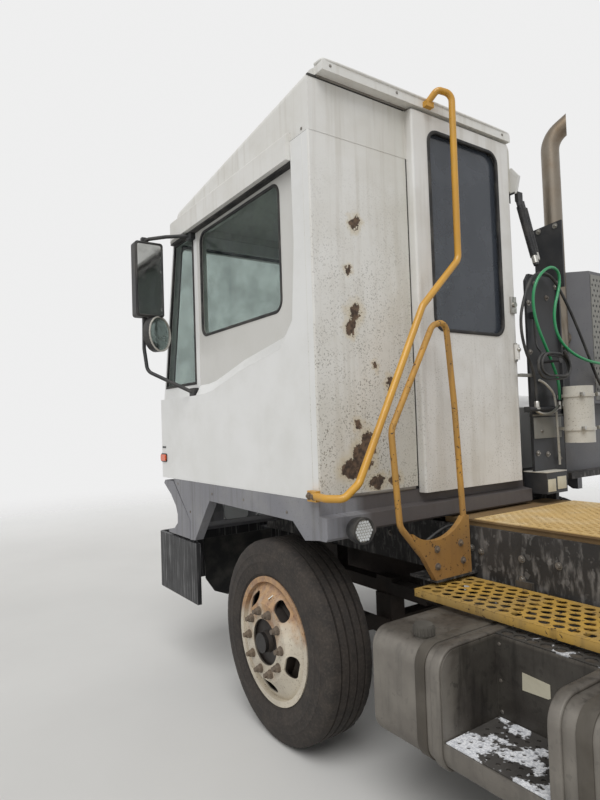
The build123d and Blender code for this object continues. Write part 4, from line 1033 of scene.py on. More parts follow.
# Bolts, nuts and screws, by what they hold
hexBolt = {
    "Head Radius": 0.0115, "Head Height": 0.011, "Head Sides": 6, "Washer Radius": 0.016, "Washer Height": 0.003,
    "Stud Radius": 0.006, "Stud Height": 0.014,
}
smallBolt = dict(hexBolt, **{"Head Radius": 0.010})
panelBolt = dict(hexBolt, **{"Head Radius": 0.009, "Head Height": 0.008})
panScrew = {
    "Head Radius": 0.006, "Head Height": 0.003, "Head Sides": 14, "Washer Radius": 0.007, "Washer Height": 0.001,
    "Stud Radius": 0.002, "Stud Height": 0.002,
}
railX = 430
railBolts = [
    (-556, 890), (-344, 892), (-172, 893), (-345, 804), (-640, 820), (-610, 900), (60, 893), (300, 890), (520, 893),
    (520, 820), (760, 893), (1000, 893), (1000, 820), (1240, 893), (1500, 900), (1580, 820), (1880, 820), (1960, 900),
    (2200, 893), (2420, 893), (-1160, 893), (-1400, 893), (-1668, 890), (-1668, 800), (-767, 800),
]
left, back = (1, 0, 0), (0, 1, 0)
boltRuns = [  # name, body, slot, finish, sizes, places with the way that each faces
    ("railBolts", "chassis", "frame_steel", "zincPlate", hexBolt,
     [((side * railX, y, z), (side, 0, 0)) for side in sideNames for y, z in railBolts]),
    ("grabBaseBolts", "chassis", "yellow_paint", "rustyNut", smallBolt,
     [((x, -583, z), back) for x, z in ((694, 935), (540, 942), (527, 862), (694, 860))]),
    ("panelScrews", "chassis", "black_paint", "zincPlate", panelBolt,
     [((x, -685, z), back) for x, z in ((-387, 2169), (-279, 2238), (-214, 2126), (-211, 1855), (-480, 1560),
                                        (-480, 2240), (-240, 1300), (-330, 1290), (-440, 1262), (-280, 1420))]),
    ("guardScrews", "chassis", "black_paint", "brightSteel", smallBolt,
     [((-500, y, z), left) for y, z in ((-784, 2595), (-678, 2600), (-784, 2270), (-678, 2270))]),
    ("boxScrews", "chassis", "grey_paint", "zincPlate", panScrew,
     [((x, -617, z), back) for x in (-738, -1140) for z in range(1590, 2350, 95)]),
    ("eaveScrews", "cab", "white_paint", "zincPlate", panScrew,
     [((x, -690, 3030), back) for x in (-60, 330, 720, 1110)]),
    ("seamScrews", "cab", "white_paint", "zincPlate", panScrew, [((1195, y, 2783), left) for y in (-800, -1930)]),
    ("railFootBolts", "cab", "yellow_paint", "rustyNut", hexBolt, [((1228, y, 1203), left) for y in (-786, -754)]),
    ("trimScrews", "cab", "grey_trim", "zincPlate", panScrew,
     [((1203, y, z), left) for y, z in ((-2240, 1155), (-2060, 1000), (-1760, 1130), (-1400, 1130), (-1000, 1110))]),
    ("fifthWheelBolts", "boom", "frame_steel", "rustyNut", hexBolt,
     [((side * 280, y, z), (side, 0, 0)) for side in sideNames for y in (1480, 1700) for z in (860, 960)]),
    ("tankScrews", "chassis", "tank_aluminium", "zincPlate", panScrew,
     [((860, y, z), left) for y in (-150, 206) for z in (450, 560, 690)]),
]
for name, body, slotName, finish, sizes, places in boltRuns:
    growPiece(name, body, finish, fastenerGroup, pointMesh(name + "Places", places), sizes)
print("fasteners set")


def sheetPiece(name, finish, halfAlong, halfAcross, values, sharpAngle=60, stands=()):
    corners = ((-1, -1), (1, -1), (1, 1), (-1, 1))
    outline = loopMesh(name + "Outline", [[(halfAlong * along, halfAcross * across, 0) for along, across in corners]])
    growPiece(name, "chassis", finish, sheetGroup, outline, values, sharpAngle, stands)


# Open-grip plank: a pressed sheet with rows of holes, folded edges and brackets
plankSizes = {"x": (460, 800), "y": (-627, 640), "top": 775, "sheet": 4, "fold": 32, "bracketsY": (-620, -230, 60, 400)}
quarterTurn = (0.0, 0.0, math.pi / 2)


def makePlank():
    (left, right), (front, rear) = plankSizes["x"], plankSizes["y"]
    top, sheet = plankSizes["top"], plankSizes["sheet"]
    folds = (((left, left + sheet), (front, rear)), ((right - sheet, right), (front, rear)),
             ((left, right), (front, front + sheet)), ((left, right), (rear - sheet, rear)))
    forms = [(addBox, x, y, (top - plankSizes["fold"], top), 1) for x, y in folds]
    forms += [(addBox, (430, 790), (y, y + 30), (top - 30, top - 12), 1) for y in plankSizes["bracketsY"]]
    makePiece("plankRim", "chassis", "plankYellow", forms, stands=["step_plank"])
    sheetPiece("plankTop", "plankYellow", (rear - front) / 2, (right - left) / 2, {
        "Hole Radius": 0.0185, "Hole Sides": 18, "Hole Stretch": 1.15, "Pitch Along": 0.056, "Pitch Across": 0.050,
        "Count Along": 22, "Count Across": 6, "Thickness": 0.003,
        "Centre": ((left + right) / 2000, (front + rear) / 2000, (top - 3) / 1000), "Turn": quarterTurn,
    }, stands=["step_plank"])


makePlank()
# expanded metal over the deck: a lattice of flattened diamonds
sheetPiece("deckLattice", "deckStraw", 416, 463, {
    "Hole Radius": 0.0085, "Hole Sides": 6, "Hole Stretch": 1.9, "Pitch Along": 0.046, "Pitch Across": 0.0225,
    "Count Along": 17, "Count Across": 40, "Thickness": 0.004, "Centre": (0.0, -0.137, 1.03), "Turn": (0.0, 0.0, 0.0),
}, 20)
# perforated face of the grey box, over a dark backing
sheetPiece("boxGrille", "boxPale", 204, 372, {
    "Hole Radius": 0.0085, "Hole Sides": 10, "Pitch Along": 0.036, "Pitch Across": 0.031, "Count Along": 11,
    "Count Across": 23, "Thickness": 0.003, "Centre": (-0.940, -0.6135, 1.958), "Turn": (math.pi / 2, 0.0, 0.0),
})
makePiece("boxBacking", "chassis", "mouldedBlack", [
    (addBox, (-1140, -740), (-617, -614), (1590, 2325)),
])
# round grips on the ledge beside the tank's step, and the step's own tread
sheetPiece("tankLedge", "saltyLedge", 205, 75, {
    "Hole Radius": 0.021, "Hole Sides": 20, "Pitch Along": 0.052, "Pitch Across": 0.046, "Count Along": 7,
    "Count Across": 3, "Thickness": 0.004, "Centre": (0.780, 0.030, 0.7205), "Turn": quarterTurn,
})
sheetPiece("stepTread", "saltyTread", 190, 140, {
    "Hole Radius": 0.0075, "Hole Sides": 12, "Pitch Along": 0.038, "Pitch Across": 0.036, "Count Along": 9,
    "Count Across": 7, "Thickness": 0.004, "Centre": (1.003, 0.028, 0.4265), "Turn": quarterTurn,
})
print("sheets perforated")

# Fuel tank: straps, pressed rims beside the step, filler cap and a blank sticker
tankSizes = {
    "low": (500, 320), "high": (1150, 720), "corner": 75, "rimsY": (-190, 246), "rimProud": 4, "strapsY": (-262, 330),
    "capCentre": (1065, -319, 722), "capRibs": 18, "ribCircle": 37,
}


def makeTankTrim():
    (near, low), (far, high), corner = tankSizes["low"], tankSizes["high"], tankSizes["corner"]
    proud = tankSizes["rimProud"]
    rimLoop = roundedLoop((near - proud, low - proud), (far + proud, high + proud), corner + proud)
    stripPiece("tankRims", "chassis", "tankSheet",
               [[(x, y, z) for x, z in rimLoop] for y in tankSizes["rimsY"]], (0.0, 1.0, 0.0), 0.014, 0.040, 0.006)
    strapLoop = roundedLoop((near, low), (far, high), corner)
    stripPiece("tankStraps", "chassis", "strapSteel",
               [[(x, y, z) for x, z in strapLoop] for y in tankSizes["strapsY"]], (0.0, 1.0, 0.0), 0.010, 0.046, 0.002)
    x, y, z = tankSizes["capCentre"]
    forms = [(addTurned, [(0, 0), (0, 35), (6, 38), (34, 38), (42, 34), (44, 25), (44, 0)], (x, y, z), (0, 0, 1), 36)]
    for index in range(tankSizes["capRibs"]):
        angle = 2 * math.pi * index / tankSizes["capRibs"]
        spot = (x + tankSizes["ribCircle"] * math.cos(angle), y + tankSizes["ribCircle"] * math.sin(angle), z + 6)
        forms.append((addTurned, [(0, 0), (0, 4), (28, 4), (28, 0)], spot, (0, 0, 1), 6))
    makePiece("fillerCap", "chassis", "dustyCap", forms)
    makePiece("blankSticker", "chassis", "paleSticker", [
        (addPrism, [(-59, 619), (46, 612), (46, 567), (38, 562), (-61, 558)], "yz", 860.2, 861.6),
    ])


makeTankTrim()
print("tank dressed")

# Mirrors: silvered glass in a lipped housing, and clamps on the arms
mirrorSizes = {
    "low": (1308, 2192), "high": (1457, 2621), "face": -2165, "roundCentre": (1335, -2190, 2078), "roundRadius": 108,
    "roundTurn": 33, "roundOut": 22, "clamps": ((1400, -2207, 2655), (1400, -2207, 2160), (1402, -2203, 2050)),
    "feet": ((1190, -1998, 2655), (1190, -2006, 1712)),
}


def makeMirrorTrim(side):
    name = sideNames[side]
    (near, low), (far, high), face = mirrorSizes["low"], mirrorSizes["high"], mirrorSizes["face"]
    glass = [(side * x, z) for x, z in roundedLoop((near, low), (far, high), 14, 4)]
    makePiece("mirrorGlass" + name, "cab", "silveredGlass", [(addPrism, glass, "xz", face, face + 1.5)])
    lip = [(side * x, face + 2, z) for x, z in roundedLoop((near - 5, low - 5), (far + 5, high + 5), 18, 5)]
    stripPiece("mirrorLip" + name, "cab", "mouldedBlack", [lip], (0.0, 1.0, 0.0), 0.010, corner=0.003)
    turn = math.radians(side * mirrorSizes["roundTurn"])
    axis = (-math.sin(turn), math.cos(turn), 0)
    x, y, z = mirrorSizes["roundCentre"]
    start = (side * x + axis[0] * mirrorSizes["roundOut"], y + axis[1] * mirrorSizes["roundOut"], z)
    radius = mirrorSizes["roundRadius"]
    dome = [(0, 0), (0, radius - 8), (1.2, radius - 12), (4, radius * 0.55), (5, 0)]
    makePiece("roundGlass" + name, "cab", "silveredGlass", [(addTurned, dome, start, axis, 40)], 60)
    rim = [(-2, radius - 8), (-2, radius), (5, radius), (7, radius - 4), (5, radius - 8)]
    makePiece("roundRim" + name, "cab", "canisterWhite", [(addTurned, rim, start, axis, 40)], 50)
    clamps = [(addBox, outward(side, x - 16, x + 16), (y - 16, y + 16), (z - 14, z + 14), 3)
              for x, y, z in mirrorSizes["clamps"]]
    feet = [(addBox, outward(side, x - 24, x + 10), (y - 34, y + 34), (z - 26, z + 26), 5)
            for x, y, z in mirrorSizes["feet"]]
    makePiece("mirrorClamps" + name, "cab", "mouldedBlack", clamps + feet)


for side in sideNames:
    makeMirrorTrim(side)
# long stays carry the right mirror across the hood to the cab
barPiece("rightStays", "cab", "mouldedBlack", [
    [(-1180, -1990, 2655), (-1100, -1985, 2662), (-300, -1985, 2712), (-200, -1985, 2718)],
    [(-1180, -1990, 2655), (-1120, -2040, 2640), (-300, -2210, 2700), (-205, -2225, 2705)],
], 11)
print("mirrors made")

# Lamps: round work lamp, markers, headlamps and tail lamps
lampSizes = {"work": (1082, -617, 1061), "workRadius": 50, "cellPitch": (13.5, 11.7), "headlampsX": (560, 800)}
lampCell = {
    "Head Radius": 0.0062, "Head Height": 0.0024, "Head Sides": 6, "Washer Radius": 0.001, "Washer Height": 0.0001,
    "Stud Radius": 0.001, "Stud Height": 0.001,
}


def makeWorkLamp():
    centre, radius = lampSizes["work"], lampSizes["workRadius"]
    bowl = [(-73, 0), (-73, 22), (-66, 38), (-48, 50), (-20, radius + 5), (-3, radius + 5), (-3, radius - 2), (-6, 0)]
    makePiece("workLampBowl", "cab", "mouldedBlack", [
        (addTurned, bowl, centre, back, 40),
        (addTurned, [(-82, 0), (-82, 20), (-70, 20), (-70, 0)], centre, back, 24),
    ], 50, ["marker_lamps"])
    rim = [(-4, radius - 3), (-4, radius + 6), (6, radius + 6), (8, radius + 2), (6, radius - 3)]
    makePiece("workLampRim", "cab", "sealRubber", [(addTurned, rim, centre, back, 40)], 50)
    lens = [(-1, 0), (-1, radius - 4), (1, radius - 4), (4, radius * 0.6), (5, 0)]
    makePiece("workLampLens", "cab", "lampBowl", [(addTurned, lens, centre, back, 40)], 60)
    x, y, z = centre
    cells = []
    for row in range(-3, 4):
        for column in range(-3, 4):
            across = (column + 0.5 * (row % 2)) * lampSizes["cellPitch"][0]
            up = row * lampSizes["cellPitch"][1]
            if math.hypot(across, up) < radius - 9:
                cells.append(((x + across, y + 3, z + up), back))
    growPiece("workLampCells", "cab", "lensClear", fastenerGroup, pointMesh("lampCellPlaces", cells),
              lampCell, 10)


def makeSideLamps(side):
    name = sideNames[side]
    makePiece("markerBase" + name, "cab", "mouldedBlack", [
        (addPrism, roundedLoop((-2510, 1283), (-2414, 1338), 14, 4), "yz", *outward(side, 1199.5, 1204)),
    ])
    makePiece("markerClip" + name, "cab", "mouldedBlack", [
        (addPrism, [(-2484, 1374), (-2431, 1374), (-2431, 1385), (-2484, 1385)], "yz", *outward(side, 1199.5, 1203)),
    ])
    makePiece("markerLens" + name, "cab", "lensAmber", [
        (addPrism, roundedLoop((-2504, 1289), (-2420, 1332), 12, 5), "yz", *outward(side, 1203, 1210)),
        (addPrism, roundedLoop((-2500, 1293), (-2424, 1328), 9, 5), "yz", *outward(side, 1209, 1212)),
    ], 50, ["marker_lamps"])
    for x in lampSizes["headlampsX"]:
        lens = [(-6, 0), (-6, 52), (0, 52), (7, 46), (12, 30), (14, 0)]
        makePiece("headlampLens" + name + str(x), "chassis", "lensClear", [
            (addTurned, lens, (side * x, -2310, 960), (0, -1, 0), 36),
        ], 60)
        rim = [(side * across, -2312, up) for across, up in roundedLoop((x - 82, 897), (x + 82, 1023), 20, 4)]
        stripPiece("headlampRim" + name + str(x), "chassis", "sealRubber", [rim], (0.0, -1.0, 0.0),
                   0.012, 0.010, 0.003)
    makePiece("tailLenses" + name, "chassis", "lensRed", [
        (addBox, outward(side, near, far), (2380, 2392), (905, 985), 3)
        for near, far in ((905, 955), (1030, 1080), (1095, 1145))
    ])


makeWorkLamp()
for side in sideNames:
    makeSideLamps(side)
print("lamps made")

# What hangs on the hose panel: tidy rods, a grab pipe, socket collars and plates
barPiece("panelRod", "chassis", "canisterWhite", [
    [(-262, -672, 1700), (-297, -668, 1690), (-345, -662, 1655), (-385, -662, 1620), (-396, -662, 1540),
     (-403, -664, 1440), (-412, -668, 1330), (-420, -672, 1228)],
], 6.5)
barPiece("panelPipe", "chassis", "brightSteel", [
    [(-205, -668, 1540), (-215, -650, 1516), (-290, -640, 1512), (-350, -640, 1530), (-392, -640, 1560)],
], 9)
makePiece("panelStrips", "chassis", "boxPale", [
    (addBox, (-190, -85), (-683, -660), (1716, 1733), 2), (addBox, (-470, -210), (-684.5, -681), (1380, 1496), 2),
    (addBox, (-500, -205), (-684.5, -680), (1503, 1512), 1),
])
makePiece("socketCollars", "chassis", "brightSteel", [
    (addTurned, [(0, 0), (0, radius), (8, radius), (12, radius - 4), (38, radius - 5), (44, radius - 8), (44, 0)],
     centre, (0, 0, 1), 28) for centre, radius in (((-205, -655, 1540), 19), ((-400, -640, 1540), 21))
])
makePiece("plateBoxLid", "chassis", "canisterWhite", [
    (addBox, (-396, -204), (-757, -616), (1197, 1203), 2),
])
makePiece("blankPlates", "chassis", "paleSticker", [
    (addBox, (-284, -212), (-617, -614.5), (1096, 1163), 1), (addBox, (-383, -300), (-617, -614.5), (1104, 1172), 1),
])
makePiece("canisterClamps", "chassis", "brightSteel", [
    (addBox, (x - 9, x + 9), (-478, -458), (z - 2, z + 18), 2) for z in (1424, 1604) for x in (-475, -330)
])

# Air lines that cross from the rail to the axle behind the grab rail
airLines = [
    [(432, -690, 985), (470, -672, 1000), (530, -662, 1008), (600, -668, 985), (660, -680, 950), (690, -720, 905)],
    [(432, -670, 960), (490, -655, 985), (560, -650, 962), (620, -660, 930), (640, -720, 880)],
    [(432, -650, 990), (455, -640, 1012), (505, -632, 1004), (548, -650, 950), (556, -700, 890)],
]
barPiece("airLines", "chassis", "hoseRubber", airLines, 7)
makePiece("airLineNuts", "chassis", "brightSteel", [
    (addTurned, [(0, 0), (0, 12), (10, 12), (12, 9), (30, 9), (30, 0)], line[0],
     (Vector(line[1]) - Vector(line[0])).normalized(), 16) for line in airLines
])

# Springs that hold up the hoses, wound on their rods
springSizes = {"Coil Radius": 0.0165, "Wire Radius": 0.0032, "Turns": 46.0}
springRuns = {
    "springOuter": ((-212, -634, 2370), (-212, -706, 2672)),
    "springInner": ((-236.3, -640, 2391), (-237.6, -698, 2655)),
}
for name, (low, high) in springRuns.items():
    run = Vector(high) - Vector(low)
    turn = Vector((0, 0, 1)).rotation_difference(run).to_euler()
    growPiece(name, "cab", "mouldedBlack", springGroup, bpy.data.meshes.new(name + "Start"), dict(
        springSizes, Length=run.length / 1000, Base=tuple(metres(low)), Turn=tuple(turn),
    ), 60)
springEnds = []
for low, high in (((-212, -624, 2328), (-212, -634, 2372)), ((-236, -631, 2350), (-236.3, -640, 2392))):
    run = Vector(high) - Vector(low)
    sleeve = [(0, 0), (0, 12), (4, 16), (run.length, 16), (run.length, 0)]
    springEnds.append((addTurned, sleeve, low, run.normalized(), 20))
makePiece("springEnds", "cab", "brightSteel", springEnds)
tenderFlange = [
    (-757, 2892), (-733, 2892), (-686, 2831), (-709, 2742), (-719, 2742), (-700, 2826), (-745, 2878), (-757, 2878),
]
makePiece("tenderFlange", "cab", "cabEnamelSide", [(addPrism, tenderFlange, "yz", -201.5, -189.6)])
print("panel dressed")

# Sliding door: latch, the post's rubber with a black strip of painted shadow under the eave, the sheet behind its path
# and the track
makePiece("doorLatch", "rear_door", "brightSteel", [
    (addBox, (-112, -88), (-701, -692), (1800, 1900), 3),
    (addTurned, [(0, 0), (0, 11), (22, 11), (26, 8), (26, 0)], (-100, -694, 1862), back, 20),
    (addBox, (-118, -70), (-701, -690), (2060, 2150), 3),
    (addTurned, [(0, 0), (0, 14), (14, 14), (14, 0)], (-92, -692, 2105), back, 20),
])
# the post's rubber, and a black strip under the eave as painted shadow
makePiece("doorPostRubberAndEaveShadow", "cab", "sealRubber", [
    (addBox, (621.5, 627), (-755, -746.5), (1190, 2760), 1), (addBox, (627, 1194), (-755, -742), (2992, 3004), 2),
])
# a pressed sheet closes the rear up to the roof, its outer edge rolled round the corner
rollSizes = {"x": 1191.6, "y": -754.5, "radius": 8}
rolled = [
    (rollSizes["x"] + rollSizes["radius"] * math.cos(angle), rollSizes["y"] + rollSizes["radius"] * math.sin(angle))
    for angle in (math.radians(step * 15) for step in range(7))
]
makePiece("rearSheet", "cab", "cabEnamelRear", [
    (addPrism, [(627, -755), (627, -746.5)] + rolled[::-1] + [(1199.6, -755)], "xy", 1196, 2760),
], 50)
makePiece("doorTrack", "cab", "zincPlate", [
    (addBox, (-125, 1150), (-748, -738), (2996, 3010), 2), (addBox, (640, 1190), (-755, -746.5), (1182, 1196), 2),
])

# The pressed crease of the cab's side: a flare from the lower panel up to the window panel
creaseSizes = {"outer": 1200.4, "inner": 1165.2, "rise": 58, "wideRows": 5, "narrow": 0.35, "overlap": 0.06}
crease = [  # y and z
    (-1948, 1692), (-1835, 1693), (-1731, 1704), (-1402, 1786), (-1018, 1853), (-912, 1966), (-880, 2300),
    (-884, 2672),
]


def makeCrease():
    shape = bmesh.new()
    outer, inner = creaseSizes["outer"], creaseSizes["inner"]
    rows = []
    for index, place in enumerate(crease):
        spot = Vector(place)
        run = (Vector(crease[min(index + 1, len(crease) - 1)]) - Vector(crease[max(index - 1, 0)])).normalized()
        share = 1.0 if index < creaseSizes["wideRows"] else creaseSizes["narrow"]
        away = Vector((-run.y, run.x)) * creaseSizes["rise"] * share
        foot = spot - away * creaseSizes["overlap"]
        edges = ((outer, foot), (inner, spot + away), (inner, foot))
        rows.append([shape.verts.new(metres((x, *edge))) for x, edge in edges])
    skinRings(shape, rows, closed=False)
    shape.faces.new(rows[0])
    shape.faces.new(reversed(rows[-1]))
    finishPiece(toMesh("sideCrease", shape, 40), "cab", "cabEnamelSide")


makeCrease()

# Lines of shadow and trim on the cab
# black strips under each visor: painted shadow of the gap beneath it
makePiece("visorShadowStrip", "cab", "sealRubber", [
    (addBox, sorted((wallX, wallX + out)), (-2270, -890), (2665, 2674), 2) for wallX, out in ((1165, 36), (-155, -36))
])
makePiece("sideSeams", "cab", "sealRubber", [
    (addBox, (1194, 1199.6), (-2240, -760), (2753, 2761), 1),
    (addBox, (1194.5, 1197), (-2190, -888), (2797, 2802), 0.5),
])
makePiece("cornerSeam", "cab", "cabEnamelRear", [
    (addBox, (1199, 1200.6), (-795, -793.4), (1186, 2752), 0.3),
])
makePiece("grilleSlats", "cab", "mouldedBlack", [
    (addBox, (-1080, 1080), (-2551, -2549), (low, low + 9), 1) for low in range(1238, 1280, 20)
] + [
    (addPrism, [(-2549, low - 2), (-2534, low + 8), (-2534, low + 11), (-2551, low + 1)], "yz", *limits)
    for low in range(1280, 1600, 40) for limits in ((-900, -40), (40, 900))
])
print("cab trimmed")

# Seat: stuffed cushions with sewn channels on a bellows and a pan
seatSizes = {"bulge": 14, "grooveDepth": 9, "grooveWidth": 7, "cuts": 47}


def makeCushion(name, low, high, radius, face, towards, grooves):
    # a rounded box that swells on one side; face is 1 or 2 for y or z, and grooves are (axis, place) in millimetres
    shape = bmesh.new()
    bmesh.ops.create_cube(shape, size=2.0)
    bmesh.ops.subdivide_edges(shape, edges=shape.edges[:], cuts=seatSizes["cuts"], use_grid_fill=True)
    middle = [(a + b) / 2 for a, b in zip(low, high)]
    half = [(b - a) / 2 for a, b in zip(low, high)]
    half[face] -= seatSizes["bulge"] / 2
    middle[face] -= towards * seatSizes["bulge"] / 2
    for vert in shape.verts:
        place = vert.co.copy()
        corner = [value * size for value, size in zip(place, half)]
        inner = Vector([max(-size + radius, min(size - radius, value)) for value, size in zip(corner, half)])
        spot = inner + (Vector(corner) - inner).normalized() * radius
        if place[face] * towards > 0.999:
            first, second = (axis for axis in range(3) if axis != face)
            swell = (1 - place[first] ** 4) * (1 - place[second] ** 4) * seatSizes["bulge"]
            for axis, line in grooves:
                away = (spot[axis] + middle[axis] - line) / seatSizes["grooveWidth"]
                swell -= seatSizes["grooveDepth"] * math.exp(-away ** 2)
            spot[face] += towards * swell
        vert.co = (spot + Vector(middle)) / 1000
    piece = finishPiece(toMesh(name, shape, 80), "cab", "seatCloth", ["seat"])


makeCushion("seatCushion", (262, -1448, 1500), (778, -952, 1628), 44, 2, 1,
            [(0, 352), (0, 688), (1, -1290), (1, -1130)])
piping = [(x, y, 1585) for x, y in roundedLoop((263, -1447), (777, -953), 44, 6)]
barPiece("cushionPiping", "cab", "mouldedBlack", [piping + piping[:1]], 4, smooth=False)
makeCushion("seatBack", (282, -1066, 1602), (758, -944, 2248), 44, 1, -1,
            [(0, 362), (0, 678), (2, 1780), (2, 1940), (2, 2090)])
seatPan = [
    (addBox, (300, 740), (-950, -938), (1640, 2200), 5), (addBox, (285, 755), (-1430, -970), (1478, 1506), 8),
]
for fold in range(8):
    low, inset = 1206 + fold * 34, 12 if fold % 2 else 0
    seatPan.append((addBox, (384 + inset, 656 - inset), (-1346 + inset, -1054 - inset), (low, low + 34), 6))
seatPan += [(addBox, (x, x + 12), (-1120, -1000), (1470, 1560), 4) for x in (258, 770)]
makePiece("seatPan", "cab", "mouldedDash", seatPan, stands=["seat"])
barPiece("beltStalk", "cab", "sealRubber", [
    [(250, -1000, 1480), (262, -1120, 1600), (330, -1180, 1640), (420, -1190, 1645)],
], 7)
print("seat made")

# Dash: round instruments without figures, and rocker switches in two rows
dashFaces = {"upper": (0, 0.747, 0.664), "lower": (0, 0.868, -0.496)}
dials = [((x, -2059, 1746), radius) for x, radius in ((320, 20), (388, 26), (475, 38), (568, 38), (656, 26), (724, 20))]
makePiece("dialBezels", "cab", "brightSteel", [
    (addTurned, [(-2, radius - 3), (-2, radius + 4), (5, radius + 3), (7, radius), (5, radius - 3)], centre,
     dashFaces["upper"], 36) for centre, radius in dials
])
makePiece("dialFaces", "cab", "panelBlack", [
    (addTurned, [(-2, 0), (-2, radius - 3), (1, radius - 3), (1, radius * 0.16), (5, radius * 0.14), (5, 0)], centre,
     dashFaces["upper"], 36) for centre, radius in dials
])
switches = [((90 + index * 42, -2062, 1626), dashFaces["lower"]) for index in range(9)]
switches += [((780 + index * 42, -2059, 1746), dashFaces["upper"]) for index in range(5)]
makePiece("dashSwitches", "cab", "mouldedBlack", [
    (addTurned, [(-2, 0), (-2, 17), (2, 17), (5, 13), (6, 0)], centre, way, 4) for centre, way in switches
], 20)

# Rolled lip along the eave's top edge
eaveLip = [(-122, -745), (-122, -706), (-108, -692), (500, -692), (1136, -692), (1150, -706), (1150, -745)]
barPiece("eaveLip", "cab", "roofEnamel", [[(x, y, 3052) for x, y in eaveLip]], 8)

# Wipers on the windscreen
wiperSizes = {"reach": -430, "halfBlade": 210, "pivots": {"wiperLeft": 820, "wiperRight": 250}}
for name, pivotX in wiperSizes["pivots"].items():
    reach, halfBlade = wiperSizes["reach"], wiperSizes["halfBlade"]
    barPiece(name + "Arm", "cab", "mouldedBlack", [[
        (pivotX, -2526, 1712), onScreen(pivotX, 1745, 22), onScreen(pivotX + reach * 0.5, 1830, 26),
        onScreen(pivotX + reach, 1905, 20),
    ]], 6)
    barPiece(name + "Blade", "cab", "hoseRubber", [[
        onScreen(pivotX + reach - halfBlade, 1872, 8), onScreen(pivotX + reach, 1905, 10),
        onScreen(pivotX + reach + halfBlade, 1938, 8),
    ]], 5)

# Engine and radiator detail seen through the wheel arch
makePiece("engineDress", "chassis", "castIron", [
    (addBox, (-285, 285), (y, y + 60), (1130, 1165), 8) for y in range(-2000, -1100, 150)
] + [
    (addBox, (300, 335), (-2060, -1120), (760, 820), 6),
    (addTurned, [(0, 0), (0, 90), (220, 90), (240, 70), (240, 0)], (330, -1700, 880), back, 28),
    (addTurned, [(0, 0), (0, 260), (12, 270), (30, 270), (30, 0)], (0, -2132, 880), back, 40),
])

# Splash flaps behind the bumper's ends, ribs of the mud flaps and the battery box's lid
flapOutline = [(560, 800), (560, 520), (640, 460), (760, 425), (900, 425), (990, 462), (1050, 550), (1060, 800)]
for side, name in sideNames.items():
    makePiece("splashFlap" + name, "chassis", "hoseRubber", [
        (addPrism, [(side * x, z) for x, z in flapOutline], "xz", -2204, -2196),
    ])
makePiece("flapRibs", "chassis", "hoseRubber", [
    (addBox, outward(side, 600, 1180), (2331, 2336), (z, z + 8), 2) for side in sideNames for z in (262, 420, 560, 700)
])
batteryLid = [(addBox, (-1136, -484), (-424, 564), (728, 748), 6)]
for y in (-250, 380):
    batteryLid += [
        (addBox, (-1142, -1128), (y, y + 40), (640, 745), 3),
        (addTurned, [(0, 0), (0, 12), (14, 12), (14, 0)], (-1136, y + 20, 650), (-1, 0, 0), 16),
    ]
makePiece("batteryLid", "chassis", "panelBlack", batteryLid)
print("chassis dressed")

# Floor, light and camera
stageLook = {"back": 0.86, "worldLight": 0.5, "sunPower": 1.75, "sunSpread": 40, "floorHalf": 40, "fade": (5.0, 14.0)}


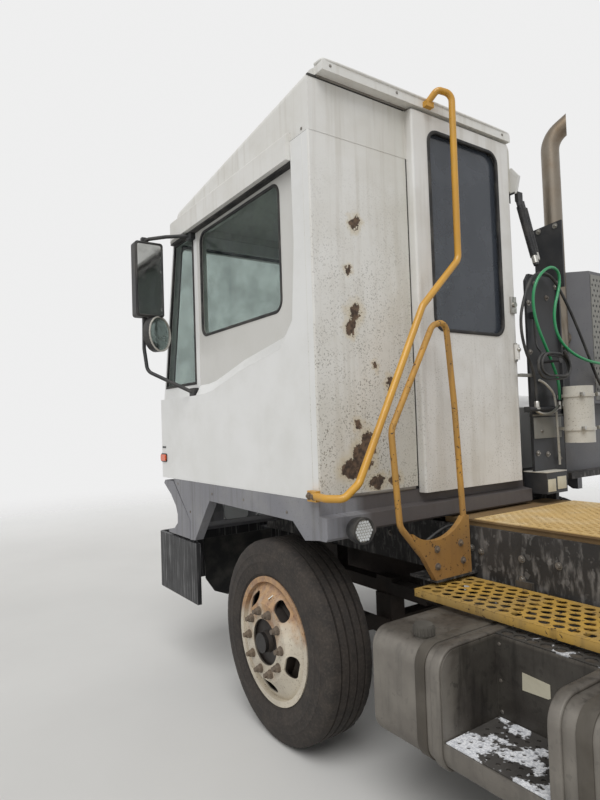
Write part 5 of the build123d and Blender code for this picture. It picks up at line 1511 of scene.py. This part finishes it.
def makeStage():
    half = stageLook["floorHalf"]
    mesh = bpy.data.meshes.new("studioFloor")
    mesh.from_pydata([(-half, -half, 0), (half, -half, 0), (half, half, 0), (-half, half, 0)], [], [(0, 1, 2, 3)])
    floor = addObject("studioFloor", mesh)
    floor.location.z = -0.001
    material, tree, shader, coords = newMaterial("floorPaint")
    tone = layColours(tree, "#D6D5D2", [(noiseMask(tree, coords, 0.6, 0.2, 0.8, 4.0), 1, "#CFCECB")])
    feed(tree, shader, {"Base Color": tone, "Roughness": 0.8})
    distance = addNode(tree, "ShaderNodeVectorMath", {0: coords}, output="Value", operation="LENGTH")
    fade = addNode(tree, "ShaderNodeMapRange", {
        "Value": distance, "From Min": stageLook["fade"][0], "From Max": stageLook["fade"][1],
    }, clamp=True, interpolation_type="SMOOTHSTEP")
    clear = addNode(tree, "ShaderNodeBsdfTransparent")
    mixed = addNode(tree, "ShaderNodeMixShader", {0: fade, 1: shader.outputs[0], 2: clear})
    feed(tree, tree.nodes["Material Output"], {"Surface": mixed})
    mesh.materials.append(material)

    world = bpy.data.worlds.new("studio")
    scene.world = world
    world.use_nodes = True
    tree = world.node_tree
    seen = addNode(tree, "ShaderNodeLightPath", output="Is Camera Ray")
    for ray in ("Is Glossy Ray", "Is Transmission Ray"):
        light = addNode(tree, "ShaderNodeLightPath", output=ray)
        seen = addNode(tree, "ShaderNodeMath", {0: seen, 1: light}, operation="MAXIMUM")
    strength = addNode(tree, "ShaderNodeMapRange", {
        "Value": seen, "To Min": stageLook["worldLight"], "To Max": stageLook["back"],
    })
    feed(tree, tree.nodes["Background"], {"Color": (1, 1, 1, 1), "Strength": strength})

    # one broad soft lamp, high behind the camera's right shoulder
    data = bpy.data.lights.new("softSun", "SUN")
    data.energy = stageLook["sunPower"]
    data.angle = math.radians(stageLook["sunSpread"])
    lamp = addObject("softSun", data)
    lamp.rotation_euler = Vector((-0.5, -0.5, -0.95)).to_track_quat("-Z", "Y").to_euler()


# fitted to the photograph: yaw 34.6, pitch 2.2, roll -1.9 degrees
cameraLook = {
    "place": (2.641, 1.222, 1.511), "right": (-0.8239, 0.5658, -0.0331), "up": (-0.0055, 0.0505, 0.9987),
    "ahead": (-0.5667, -0.8229, 0.0385), "focalPixels": 584.43, "highPixels": 800, "sensor": 36,
}


def makeCamera():
    # a phone's wide lens
    data = bpy.data.cameras.new("photoCamera")
    data.sensor_width = cameraLook["sensor"]
    data.lens = cameraLook["focalPixels"] / cameraLook["highPixels"] * cameraLook["sensor"]
    camera = addObject("photoCamera", data)
    turn = Matrix((cameraLook["right"], cameraLook["up"], -Vector(cameraLook["ahead"]))).transposed()
    camera.matrix_world = Matrix.Translation(cameraLook["place"]) @ turn.to_4x4()
    scene.camera = camera


makeStage()
makeCamera()
scene.view_settings.view_transform = "Standard"
print("stage and camera made")
